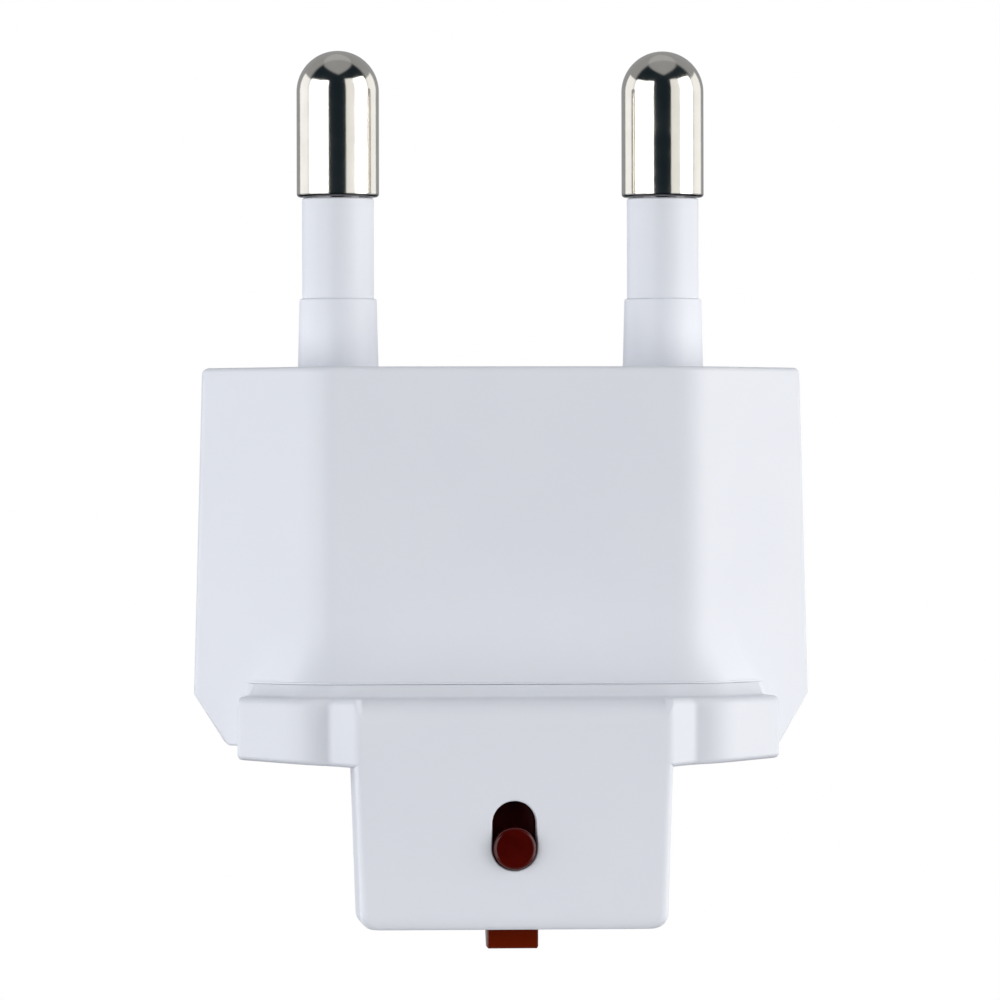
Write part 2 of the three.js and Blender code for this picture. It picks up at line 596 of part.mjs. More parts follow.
// A compression spring with a closed turn at each end, drawn as one bent wire.
class CoilPath extends THREE.Curve {
  getPoint(t) {
    const low = SLIDER_TOP + SPRING_WIRE_RADIUS + SPRING_END_GAP;
    const high = SPRING_SEAT - SPRING_WIRE_RADIUS - SPRING_END_GAP;
    const closed = 1 / SPRING_TURNS; // the share of the wire that each end turn takes
    const pitchRise = 2 * SPRING_WIRE_RADIUS + SPRING_TURN_GAP;
    const rise = new THREE.Vector2(
      THREE.MathUtils.smootherstep(t, 0, 2 * closed),
      THREE.MathUtils.smootherstep(t, 1 - 2 * closed, 1),
    );
    const middle = THREE.MathUtils.clamp((t - closed) / (1 - 2 * closed), 0, 1);
    const z = low + pitchRise * (rise.x + rise.y) * 0.5 + (high - low - pitchRise) * middle;
    const angle = 2 * Math.PI * SPRING_TURNS * t;
    return new THREE.Vector3(
      SPRING_RADIUS * Math.cos(angle),
      LATCH_AXIS_Y + SPRING_RADIUS * Math.sin(angle),
      z,
    );
  }
}

function latchSpring() {
  const wire = new THREE.Shape();
  wire.absarc(0, 0, SPRING_WIRE_RADIUS, 0, 2 * Math.PI, false);
  return new THREE.ExtrudeGeometry(wire, {
    extrudePath: new CoilPath(),
    steps: 90,
    curveSegments: 3,
    bevelEnabled: false,
  });
}

// ---------------------------------------------------------------- pins and their sleeves

function pin() {
  const [flangeLow, flangeTop] = FLANGE_Z;
  const chamfer = 0.3;
  const rim = { inset: 0.22, shoulderInset: 0.06, shoulderHeight: 0.07, height: 0.25 };
  const dome = [];
  const steps = 6;
  for (let i = 0; i <= steps; i += 1) {
    const angle = (Math.PI / 2) * (i / steps);
    dome.push([PIN_RADIUS * Math.cos(angle), PIN_TIP - PIN_RADIUS + PIN_RADIUS * Math.sin(angle)]);
  }
  return turned([
    [0, TAIL_END],
    [TAIL_RADIUS - chamfer, TAIL_END],
    [TAIL_RADIUS, TAIL_END + chamfer],
    [TAIL_RADIUS, flangeLow],
    [FLANGE_RADIUS, flangeLow],
    [FLANGE_RADIUS, flangeTop],
    [NECK_RADIUS, flangeTop],
    [NECK_RADIUS, METAL_FOOT],
    [PIN_RADIUS - rim.inset, METAL_FOOT],
    [PIN_RADIUS - rim.shoulderInset, METAL_FOOT + rim.shoulderHeight],
    [PIN_RADIUS, METAL_FOOT + rim.height],
    ...dome,
  ]);
}

function pinSleeve() {
  const bore = NECK_RADIUS + SNUG;
  const foot = FLANGE_Z[1] + SNUG;
  const collarEdge = { inset: 0.07, height: 0.1 };
  const fillet = { reach: 0.04, height: 0.02 };
  const topEdge = { inset: 0.13, height: 0.2 };
  return turned([
    [bore, foot],
    [FLANGE_RADIUS, foot],
    [FLANGE_RADIUS, -TOP_WALL - SNUG],
    [COLLAR_FOOT_RADIUS, -TOP_WALL - SNUG],
    [COLLAR_FOOT_RADIUS, 0],
    [COLLAR_TOP_RADIUS, COLLAR_TOP - collarEdge.height],
    [COLLAR_TOP_RADIUS - collarEdge.inset, COLLAR_TOP],
    [SLEEVE_TOP_RADIUS + fillet.reach, COLLAR_TOP + fillet.height],
    [SLEEVE_TOP_RADIUS, METAL_FOOT - topEdge.height],
    [SLEEVE_TOP_RADIUS - topEdge.inset, METAL_FOOT - SNUG],
    [bore, METAL_FOOT - SNUG],
    [bore, foot],
  ]);
}

const RETAINER_Z = [-4.75, FLANGE_Z[0] - 2 * SNUG];

function pinRetainerPlate() {
  const [low, high] = RETAINER_Z;
  const plate = loft([bodyOutline(low, FIT, 0), bodyOutline(high, FIT, 0)]);
  const through = [low - PAST, high + PAST];
  const radius = TAIL_RADIUS + 2 * SNUG;
  const holes = [-1, 1].map((side) => rodAlongZ(radius, (side * PIN_SPACING) / 2, 0, through));
  return cut(plate, ...holes);
}

// A push-on washer that grips the pin's tail and clamps the busbar against the retainer plate.
function pinWasher() {
  const bore = TAIL_RADIUS + SNUG;
  const rim = 2.1;
  const grip = 0.3; // width of the turned-down lip round the bore
  const [foot, rimFoot, top] = [-6.55, -6, -5.68];
  return turned([
    [bore, foot],
    [bore + grip, foot],
    [rim, rimFoot],
    [rim, top],
    [bore, top],
    [bore, foot],
  ]);
}

// ---------------------------------------------------------------- contacts

const BUSBAR_TOP = RETAINER_Z[0] - SNUG;
const BUSBAR_FRONT = -2.3;
const BUSBAR_FOOT = -16.8;

function busbar(x) {
  const inner = BUSBAR_BACK - BUSBAR_THICKNESS;
  const profile = easedCorners(
    [
      [BUSBAR_FRONT, BUSBAR_TOP, 0.05],
      [BUSBAR_FRONT, BUSBAR_TOP - BUSBAR_THICKNESS, 0.05],
      [inner, BUSBAR_TOP - BUSBAR_THICKNESS, 0.4],
      [inner, BUSBAR_FOOT, 0.05],
      [BUSBAR_BACK, BUSBAR_FOOT, 0.05],
      [BUSBAR_BACK, BUSBAR_TOP, 1],
    ],
    true,
  );
  const tailZ = [BUSBAR_TOP - BUSBAR_THICKNESS - PAST, BUSBAR_TOP + PAST];
  const tailHole = rodAlongZ(TAIL_RADIUS + SNUG, x, 0, tailZ);
  const rivetHole = rodAlongY(RIVET_RADIUS + SNUG, x, RIVET_Z, [inner - PAST, BUSBAR_BACK + PAST]);
  return cut(acrossX(profile, x, STRIP_WIDTH), tailHole, rivetHole);
}

// A folded spring clip that takes the flat blade of the supply between its two legs.
function contactClip(x) {
  const outerLeg = BUSBAR_BACK - BUSBAR_THICKNESS - SNUG - CLIP_THICKNESS / 2;
  const bend = -12.1;
  const centreLine = easedCorners(
    [
      [1.15, -20.5, 0],
      [0.55, -18.9, 0.5],
      [outerLeg, -16, 0.6],
      [outerLeg, bend, 0.9],
      [CLIP_INNER_LEG, bend, 0.9],
      [CLIP_INNER_LEG, -16, 0.6],
      [-0.55, -18.9, 0.5],
      [-1.15, -20.5, 0],
    ],
    false,
  );
  const clip = acrossX(stripOutline(centreLine, CLIP_THICKNESS), x, STRIP_WIDTH - 0.2);
  return cut(clip, rodAlongY(RIVET_RADIUS + SNUG, x, RIVET_Z, [outerLeg - PAST, outerLeg + PAST]));
}

function contactRivet(x) {
  const crown = 0.7;
  const [dome, rim] = [0.42, 0.25]; // how far the formed head stands off the busbar
  const clipSide = -2.15; // the clip's inner face
  const [headRim, headCrown] = [0.2, 0.35]; // how far the other head stands off the clip
  const profile = [
    [0, -BUSBAR_BACK - dome],
    [crown, -BUSBAR_BACK - dome],
    [RIVET_HEAD_RADIUS, -BUSBAR_BACK - rim],
    [RIVET_HEAD_RADIUS, -BUSBAR_BACK - SNUG],
    [RIVET_RADIUS, -BUSBAR_BACK - SNUG],
    [RIVET_RADIUS, clipSide],
    [RIVET_HEAD_RADIUS, clipSide],
    [RIVET_HEAD_RADIUS, clipSide + headRim],
    [crown, clipSide + headCrown],
    [0, clipSide + headCrown],
  ];
  return turned(profile, SMALL_ROUND).rotateX(Math.PI / 2).translate(x, 0, RIVET_Z);
}

// The block that keeps the two live clips apart and lines them up with the ports in the floor. Its
// relief leaves room behind each busbar for the head of the rivet.
const CARRIER = { halfWidth: 12.3, y: [-4, 4.4], chamberFront: -2.2, relief: 0.55, postGap: 0.4 };

function contactCarrier() {
  const bottom = FLOOR_TOP + SNUG;
  const top = LOWER_RIB_Z[0] - 2 * SNUG;
  const through = [bottom - PAST, top + PAST];
  const inBody = loft([bottom, CORNER_TOP, top].map((z) => bodyOutline(z, FIT, 0)));
  const base = block([-CARRIER.halfWidth, CARRIER.halfWidth], CARRIER.y, through).intersect(inBody);
  const chamber = STRIP_WIDTH / 2 + 2 * SNUG;
  const relief = RIVET_HEAD_RADIUS + 0.2;
  const chambers = [-1, 1].flatMap((side) => {
    const x = side * CONTACT_X;
    return [
      block([x - chamber, x + chamber], [CARRIER.chamberFront, BUSBAR_BACK + 2 * SNUG], through),
      block([x - relief, x + relief], [0, BUSBAR_BACK + CARRIER.relief], through),
    ];
  });
  return cut(base, ...chambers, rodAlongY(POST_RADIUS + CARRIER.postGap, 0, SCREW_POSTS[1], [-FAR, FAR]));
}

// ---------------------------------------------------------------- screws

// A small self-tapping screw along -Y with a cross recess; its head's flat top is at headY.
function screw({ headRadius, headHeight, shankRadius, length }, x, headY, z) {
  const tipLength = 0.6;
  const share = { point: 0.35, side: 0.3, top: 0.72, recessDepth: 0.55, long: 0.55, thin: 0.14 };
  const end = -headHeight - length;
  const body = turned(
    [
      [0, end],
      [shankRadius * share.point, end],
      [shankRadius, end + tipLength],
      [shankRadius, -headHeight],
      [headRadius, -headHeight],
      [headRadius, -share.side * headHeight],
      [headRadius * share.top, 0],
      [0, 0],
    ],
    SMALL_ROUND,
  );
  const recessDepth = headHeight * share.recessDepth;
  const long = headRadius * share.long;
  const thin = headRadius * share.thin;
  const recess = [
    block([-long, long], [-thin, thin], [-recessDepth, PAST]),
    block([-thin, thin], [-long, long], [-recessDepth, PAST]),
  ];
  return geometryOf(cut(solid(body), ...recess)).rotateX(-Math.PI / 2).translate(x, headY, z);
}

const REAR_COVER_SCREW = { headRadius: 1.5, headHeight: 1.1, shankRadius: 0.8, length: 7.7 };
const SHELF_SCREW_SIZE = { headRadius: 0.95, headHeight: 0.65, shankRadius: 0.6, length: 3.5 };
const SHELF_SCREW_HEAD_Y = -4.75;
const COVER_SCREW_HEAD_Y = TONGUE_BACK - 0.15;
const REAR_SCREW_HEAD_Y = 5.6;
const COVER_SCREW_SIZE = { headRadius: 1.3, headHeight: 0.75, shankRadius: 0.65, length: 3.1 };

// ---------------------------------------------------------------- assembly

const group = new THREE.Group();

function place(name, geometry, material, x = 0) {
  const mesh = new THREE.Mesh(geometry, material);
  mesh.name = name;
  mesh.position.x = x;
  group.add(mesh);
}

place("main_housing", geometryOf(mainHousing()), WHITE());
place("rear_cover", geometryOf(rearCover()), WHITE());
place("latch_housing", geometryOf(latchHousing()), WHITE());
place("latch_cover", geometryOf(latchCover()), WHITE());
place("latch_slider", geometryOf(latchSlider()), DARK_RED());
place("latch_spring", latchSpring(), SPRING_STEEL());
place("pin_retainer_plate", geometryOf(pinRetainerPlate()), WHITE());
place("contact_carrier", geometryOf(contactCarrier()), CARRIER_GREY());

for (const [side, sign] of [["left", -1], ["right", 1]]) {
  const x = (sign * PIN_SPACING) / 2;
  place(`pin_${side}`, pin(), NICKEL(), x);
  place(`pin_sleeve_${side}`, pinSleeve(), WHITE(), x);
  place(`pin_washer_${side}`, pinWasher(), SPRING_STEEL(), x);
  place(`busbar_${side}`, geometryOf(busbar(sign * CONTACT_X)), BRASS());
  place(`contact_clip_${side}`, geometryOf(contactClip(sign * CONTACT_X)), BRONZE());
  place(`contact_rivet_${side}`, contactRivet(sign * CONTACT_X), BRASS());
  const shelfScrew = screw(SHELF_SCREW_SIZE, sign * SHELF_SCREW.x, SHELF_SCREW_HEAD_Y, SHELF_SCREW.z);
  place(`latch_housing_screw_${side}`, shelfScrew, SCREW_STEEL());
  const coverScrew = screw(COVER_SCREW_SIZE, sign * COVER_SCREW.x, COVER_SCREW_HEAD_Y, COVER_SCREW.z);
  place(`latch_cover_screw_${side}`, coverScrew, SCREW_STEEL());
}

["upper", "lower"].forEach((level, i) => {
  const rearScrew = screw(REAR_COVER_SCREW, 0, REAR_SCREW_HEAD_Y, SCREW_POSTS[i]);
  place(`rear_cover_screw_${level}`, rearScrew, SCREW_STEEL());
});

export default group;
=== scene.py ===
"""The looks of an interchangeable mains plug head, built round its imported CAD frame.

Shapes are written in millimetres in the frame of the CAD and turned into metres as each mesh is made.
"""

import math

import bmesh
import bpy
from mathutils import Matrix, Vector


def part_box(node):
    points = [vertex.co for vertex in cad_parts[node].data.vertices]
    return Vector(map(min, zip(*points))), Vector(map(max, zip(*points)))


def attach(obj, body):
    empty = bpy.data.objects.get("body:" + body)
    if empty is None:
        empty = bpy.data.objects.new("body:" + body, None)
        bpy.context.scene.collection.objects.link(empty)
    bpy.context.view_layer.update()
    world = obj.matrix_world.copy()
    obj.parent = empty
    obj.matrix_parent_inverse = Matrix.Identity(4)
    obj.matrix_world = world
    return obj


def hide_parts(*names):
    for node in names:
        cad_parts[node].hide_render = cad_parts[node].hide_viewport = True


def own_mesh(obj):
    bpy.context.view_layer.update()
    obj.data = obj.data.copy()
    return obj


MM = 0.001
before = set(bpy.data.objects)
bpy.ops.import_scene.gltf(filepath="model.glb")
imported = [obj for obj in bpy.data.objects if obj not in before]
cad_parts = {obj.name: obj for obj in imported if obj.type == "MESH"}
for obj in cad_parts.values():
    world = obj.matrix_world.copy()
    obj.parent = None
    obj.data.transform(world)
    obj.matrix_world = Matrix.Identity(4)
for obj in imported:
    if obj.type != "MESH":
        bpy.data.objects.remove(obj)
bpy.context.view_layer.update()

# ---------------------------------------------------------------- dimensions, in millimetres

PIN_RADIUS = 2.4
METAL_FOOT = 9.97  # where the bare metal of a pin ends and its sleeve begins
NECK_RADIUS = 1.75
TAIL_RADIUS = 1.5
FLANGE_RADIUS = 3
FLANGE_LOW, FLANGE_HIGH = -3.4, -2.2
RIM_RADIUS = 0.2  # rounding of the metal at its foot
TAIL_CHAMFER = 0.3

SLEEVE_TOP_RADIUS = 2.09
COLLAR_TOP = 4.03  # step between the thin upper sleeve and the stouter collar
COLLAR_TOP_RADIUS = 2.25
COLLAR_FOOT_RADIUS = 2.35
SLEEVE_TOP_ROUND = 0.13

BODY_TOP_HALF_WIDTH = 17.41
BODY_LOW_HALF_WIDTH = 17.93
BODY_HALF_DEPTH = 6.85
FLAT_HALF_WIDTH = 10.9  # the flat front and back, before the wings slope away
EDGE_HALF_DEPTH = 1.1  # the blunt side edges
LEAST_EDGE = 0.25  # an outline set inwards keeps at least this half depth at its sides
FRONT_ROUND, FLARED_ROUND = 1.15, 2.1  # reach of the corner between the flat front and a wing
EDGE_ROUND = 0.3
EDGE_ROUND_SHARE = 0.9  # the rounding takes at most this share of an edge's half depth
BODY_BOTTOM = -21.88
CORNER_TOP = -18.94  # the lower corners are cut off from here...
CORNER_FOOT_HALF_WIDTH = 16.05  # ...to here
TOP_EDGE_RADIUS = 0.35
FLOOR_EDGE = 0.15  # rounding round the underside
WALL = 1.4
TOP_WALL = 1.6
FLOOR_TOP = -20.9
COVER_FRONT = 2.5  # the rear cover begins here
WING_FOOT, WING_FOOT_FLARED = 13.4, 14.9  # where the flare dies away on the wing, from top to seam
WING_FOOT_ROUND = 0.45

FLARE_TOP = -14
SEAM = -18.26  # underside of the flare, where the latch housing begins
SEAM_GAP = 0.015
SEAM_TURN_SHARE = 0.9  # the seam turns to the wing this share of the way to its foot
FLARE_REACH = 1.5  # how far the flare stands out in front
FLARE_SPREAD = 0.5  # how far the front's corner moves outwards with the flare
LIP = 0.09  # rounding of the flare's lower edge

SHELF_BOTTOM = -22.95
SHELF_EDGE = 0.3  # rounding of the shelf's lower edge
SHELF_FRONT = -9.45
SHELF_FLAT_HALF_WIDTH = 12.2  # beyond this the shelf's front runs parallel to the wing
SHELF_HALF_WIDTH = 15.66
SHELF_REAR_HALF_WIDTH = 15.3
SHELF_CORNER = 0.35  # reach of the shelf's front corners...
SHELF_TURN = 1.1  # ...and of the bend where its front leaves the flat
SHELF_END_RISE = 0.35  # the shelf's underside climbs this much towards its ends...
SHELF_END_SPAN = 6.2  # ...over this width
BLOCK_HALF_WIDTH, BLOCK_FOOT_HALF_WIDTH = 9, 10.45  # the block above the tongue and the foot of its slope
BLOCK_CORNER, BLOCK_FOOT_CORNER = 0.35, 0.25
SEAM_BLOCK_INSETS = (0.4, 1.35)  # the seam's points above the block's corners, set in from them
REAR_CORNER = 0.3  # behind the shelf, against the body
CREASE, SHELF_CREASE = 0.1, 0.05  # reaches of corners that look sharp
STRIP_REACH, STRIP_DROP = 0.7, 0.7  # the strip just under the flare
STRIP_FILLET = 0.15
LEDGE_DROP = dict(shelf=0.74, block=0.78)  # from the flare to the ledge's front
LEDGE_ROUND = dict(shelf=0.5, block=1.25)  # height of the roll between the ledge and the front
TONGUE_FRONT = -10.8
TONGUE_BACK = -5
TONGUE_TOP_HALF_WIDTH = 9.15
TONGUE_LOW_HALF_WIDTH = 8.83
TONGUE_BOTTOM = -32.2
TONGUE_WALL = 1.3
TONGUE_CORNER = 0.9  # rounding of the tongue's lower corners...
TONGUE_FRONT_EDGE = 0.45  # ...and of its lower edge in front
TONGUE_FRONT_ROUND, TONGUE_REAR_ROUND = 0.55, 0.4
TONGUE_INNER_HALF_WIDTH = 7.7
TONGUE_INNER_FRONT = TONGUE_FRONT + TONGUE_WALL
TONGUE_INNER_BOTTOM = TONGUE_BOTTOM + 1.2

SLOT_HALF_WIDTH = 1.28
SLOT_LOW, SLOT_HIGH = -28.83, -24.85
SLOT_MOUTH = 0.1  # rounding of the slot's edge
BUTTON_RADIUS = 1.21
BUTTON_Z = -27.55
BUTTON_FRONT = -11.25
BUTTON_RIM = 0.2
LATCH_AXIS_Y = -8.1
TIP_BOTTOM = -33.35
TIP_HALF_WIDTH = 1.46
TIP_FRONT, TIP_BACK = -9.1, -7.1
TIP_TOP = TONGUE_BOTTOM + 1.6
TIP_BEVEL_DEPTH, TIP_BEVEL_HEIGHT = 0.65, 0.95
TIP_EDGE = 0.07
TIP_CLEARANCE = 0.15
SLIDER_TOP = -24.4
SLIDER_FRONT, SLIDER_BACK = -8.5, -7
SLIDER_HALF_WIDTH = 3.2
SPRING_FOOT_HALF_WIDTH, SPRING_FOOT_FRONT, SPRING_FOOT_HEIGHT = 1.25, -9.2, 0.35
SPIGOT_RADIUS, SPIGOT_HEIGHT = 0.5, 0.9  # centres the spring
GUIDE_X = (3.35, 4.15)  # the rails at the sides of the latch
PAD_X = (2.2, 3)  # the pads that it slides on in front
RAIL_TOP = -23
INSIDE_BACK = -6.4  # the latch cover starts just behind
LATCH_COVER_FRONT = -6.35

SPRING_SEAT = -20.4
SPRING_RADIUS = 0.85
SPRING_WIRE_RADIUS = 0.12
SPRING_TURNS = 6.5
SPRING_END_GAP = 0.03
SPRING_TURN_GAP = 0.02  # between the closed turn at each end and the next
SPRING_POCKET_HALF_WIDTH, SPRING_POCKET_FRONT = 1.3, -9.4

PORT_X = 9.5  # the openings in the floor for the supply's two blades, in line with the pins
PORT_HALF_WIDTH, PORT_Y = 2.4, (-0.8, 0.8)
SCREW_POSTS = (-8.6, -17.5)  # heights of the two screws that hold the rear cover
POST_RADIUS, COVER_POST_RADIUS = 2.1, 2.3
PILOT_RADIUS, PILOT_END = 0.85, -3.8
COVER_HOLE_RADIUS, COVER_HOLE_END = 0.95, 6
HEAD_RECESS_RADIUS, HEAD_SEAT_Y, HEAD_RECESS_MOUTH = 1.7, 4.45, 0.12
RIB_X = (5, 6)
FRONT_RIB_Y, REAR_RIB_Y = (-6, -3.2), (4, 6)
UPPER_RIB_Z, LOWER_RIB_Z = (-6.2, -4.8), (-13.1, -12)
SHELF_SCREW_X, SHELF_SCREW_Z = 5.2, -19.9
SHELF_SCREW_HOLE, SHELF_SCREW_END = 0.65, -9.1
COVER_SCREW_X, COVER_SCREW_Z = 5.9, -28.8
COVER_SCREW_POST, COVER_SCREW_PILOT, COVER_SCREW_HOLE = 1.5, 0.7, 0.8
COVER_SCREW_RECESS, COVER_SCREW_SUNK, COVER_RECESS_MOUTH = 1.45, 0.95, 0.1
COVER_SCREW_END, PILOT_MOUTH = -9.3, -6

SNUG = 0.05  # gap between two fixed pieces that touch
ROOT = 0.2  # how far an inner rib is sunk into its wall
PLATE_EDGE = 0.12  # rounding round a flat plate
PAST, BEYOND = 0.5, 1  # how far a cut or an inner piece runs past the face that it goes through
FAR = 20  # well outside the body
HAIR = 0.001
WELD = 0.0002  # points closer than this are one
CORNER_STEPS = 10
ROUND, SMALL_ROUND = 96, 64  # segments in a full turn
SHARP_ANGLE = math.radians(29)

# ---------------------------------------------------------------- shapes


def lerp(a, b, t):
    return a + (b - a) * t


def clamp(value):
    return max(0.0, min(1.0, value))


def quarter_turn(step):
    """Angles from 0 to 90 degrees, a step of so many degrees apart."""
    return [math.radians(turn) for turn in range(0, 91, step)]


def arc(centre, radius, start, end, steps):
    """Points on a circle, with angles in degrees."""
    turns = [math.radians(lerp(start, end, i / steps)) for i in range(steps + 1)]
    return [(centre[0] + radius * math.cos(a), centre[1] + radius * math.sin(a)) for a in turns]


def bend(start, corner, end, steps):
    """Points on the curve that leaves start towards the corner and arrives at end from it."""
    shares = [i / steps for i in range(steps + 1)]
    return [start * (1 - t) ** 2 + corner * 2 * t * (1 - t) + end * t * t for t in shares]


def eased(corners, steps=CORNER_STEPS):
    """A closed outline whose corners, given as (x, y, reach), are eased over that reach."""
    points = []
    for i, (x, y, reach) in enumerate(corners):
        here = Vector((x, y))
        before = Vector(corners[i - 1][:2])
        after = Vector(corners[(i + 1) % len(corners)][:2])
        start = here + (before - here).normalized() * reach
        end = here + (after - here).normalized() * reach
        points += bend(start, here, end, steps)
    return points


def mirrored(half):
    return half + [(-x, y, reach) for x, y, reach in reversed(half)]


def on_side(side, near, far):
    """A range on the right, where side is 1, or its mirror image on the left, where it is -1."""
    return (near, far) if side > 0 else (-far, -near)


def at_height(outline, z):
    return [(x, y, z) for x, y in outline]


def new_object(name, vertices, faces):
    mesh = bpy.data.meshes.new(name)
    mesh.from_pydata([Vector(v) * MM for v in vertices], [], faces)
    piece = bpy.data.objects.new(name, mesh)
    bpy.context.scene.collection.objects.link(piece)
    editable = bmesh.new()
    editable.from_mesh(mesh)
    bmesh.ops.recalc_face_normals(editable, faces=editable.faces)
    editable.to_mesh(mesh)
    editable.free()
    return piece


def loft(name, sections):
    """A closed body through outlines of the same number of points."""
    count = len(sections[0])
    faces = []
    for level in range(len(sections) - 1):
        for i in range(count):
            low, low_next = level * count + i, level * count + (i + 1) % count
            faces.append((low, low_next, low_next + count, low + count))
    top = (len(sections) - 1) * count
    faces.append(tuple(reversed(range(count))))
    faces.append(tuple(range(top, top + count)))
    return new_object(name, [point for section in sections for point in section], faces)


def turned(name, profile, segments=ROUND, is_ring=False):
    """A piece turned about Z from (radius, height) points; a ring's profile closes on itself."""
    vertices, rows = [], []
    for radius, z in profile:
        if not radius:
            rows.append([len(vertices)] * segments)
            vertices.append((0, 0, z))
            continue
        rows.append(list(range(len(vertices), len(vertices) + segments)))
        for i in range(segments):
            angle = 2 * math.pi * i / segments
            vertices.append((radius * math.cos(angle), radius * math.sin(angle), z))
    pairs = list(zip(rows, rows[1:] + rows[:1])) if is_ring else list(zip(rows, rows[1:]))
    faces = []
    for low, high in pairs:
        for i in range(segments):
            j = (i + 1) % segments
            corners = (low[i], low[j], high[j], high[i])
            faces.append(tuple(dict.fromkeys(corners)))
    return new_object(name, vertices, faces)


def shifted(piece, x=0.0, y=0.0, z=0.0):
    for vertex in piece.data.vertices:
        vertex.co += Vector((x, y, z)) * MM
    return piece


def facing_back(piece):
    """Turns a piece made along Z so that its top faces +Y."""
    for vertex in piece.data.vertices:
        x, y, z = vertex.co
        vertex.co = (x, z, -y)
    return piece


def block(x_range, y_range, z_range, rounding=0.0):
    corners = [(x, y, z) for z in z_range for y in y_range for x in x_range]
    faces = [(0, 2, 3, 1), (4, 5, 7, 6), (0, 1, 5, 4), (2, 6, 7, 3), (0, 4, 6, 2), (1, 3, 7, 5)]
    piece = new_object("block", corners, faces)
    if rounding:
        editable = bmesh.new()
        editable.from_mesh(piece.data)
        edges = list(editable.edges)
        bmesh.ops.bevel(editable, geom=edges, offset=rounding * MM, segments=4, profile=0.5, affect="EDGES")
        editable.to_mesh(piece.data)
        editable.free()
    return piece


def rod_along_y(radius, x, z, y_range, mouth=0.0):
    """A cylinder along Y; with a mouth it widens roundly at its back end."""
    low, high = y_range
    profile = [(0, low), (radius, low)]
    if mouth:
        rounding = arc((radius + mouth, high - mouth), mouth, 180, 90, 6)
        profile += rounding + [(radius + mouth, high + BEYOND), (0, high + BEYOND)]
    else:
        profile += [(radius, high), (0, high)]
    return shifted(facing_back(turned("rod", profile, SMALL_ROUND)), x=x, z=z)


def rod_along_z(radius, x, y, z_range):
    low, high = z_range
    profile = [(0, low), (radius, low), (radius, high), (0, high)]
    return shifted(turned("rod", profile, SMALL_ROUND), x=x, y=y)


def bake(piece):
    """Puts the result of a piece's modifiers into its mesh."""
    evaluated = piece.evaluated_get(bpy.context.evaluated_depsgraph_get())
    mesh = bpy.data.meshes.new_from_object(evaluated)
    piece.modifiers.clear()
    piece.data = mesh
    mesh.name = piece.name


def combine(piece, operation, others):
    for other in others:
        modifier = piece.modifiers.new(operation, "BOOLEAN")
        modifier.operation = operation
        modifier.solver = "EXACT"
        modifier.object = other
    bpy.context.view_layer.update()
    bake(piece)
    for other in others:
        bpy.data.objects.remove(other)
    return piece


def joined(piece, *others):
    return combine(piece, "UNION", others)


def cut(piece, *others):
    return combine(piece, "DIFFERENCE", others)


def finished(piece, node, body, slot):
    """Gives a piece its name, smooth shading with crisp edges, its material and the node it stands for."""
    piece.name = f"{node}_detailed"
    editable = bmesh.new()
    editable.from_mesh(piece.data)
    bmesh.ops.remove_doubles(editable, verts=editable.verts, dist=WELD * MM)
    bmesh.ops.dissolve_degenerate(editable, dist=WELD * MM, edges=editable.edges)
    editable.to_mesh(piece.data)
    editable.free()
    piece.data.shade_smooth()
    piece.data.set_sharp_from_angle(angle=SHARP_ANGLE)
    weighted = piece.modifiers.new("normals", "WEIGHTED_NORMAL")
    weighted.keep_sharp = True
    bpy.context.view_layer.update()
    bake(piece)
    piece.data.materials.clear()
    piece.data.materials.append(MATERIALS[slot])
    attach(piece, body)
    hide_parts(node)
    return piece


# ---------------------------------------------------------------- materials

NOISE_RANGE = (0.3, 0.7)  # where nearly all of a noise's values lie


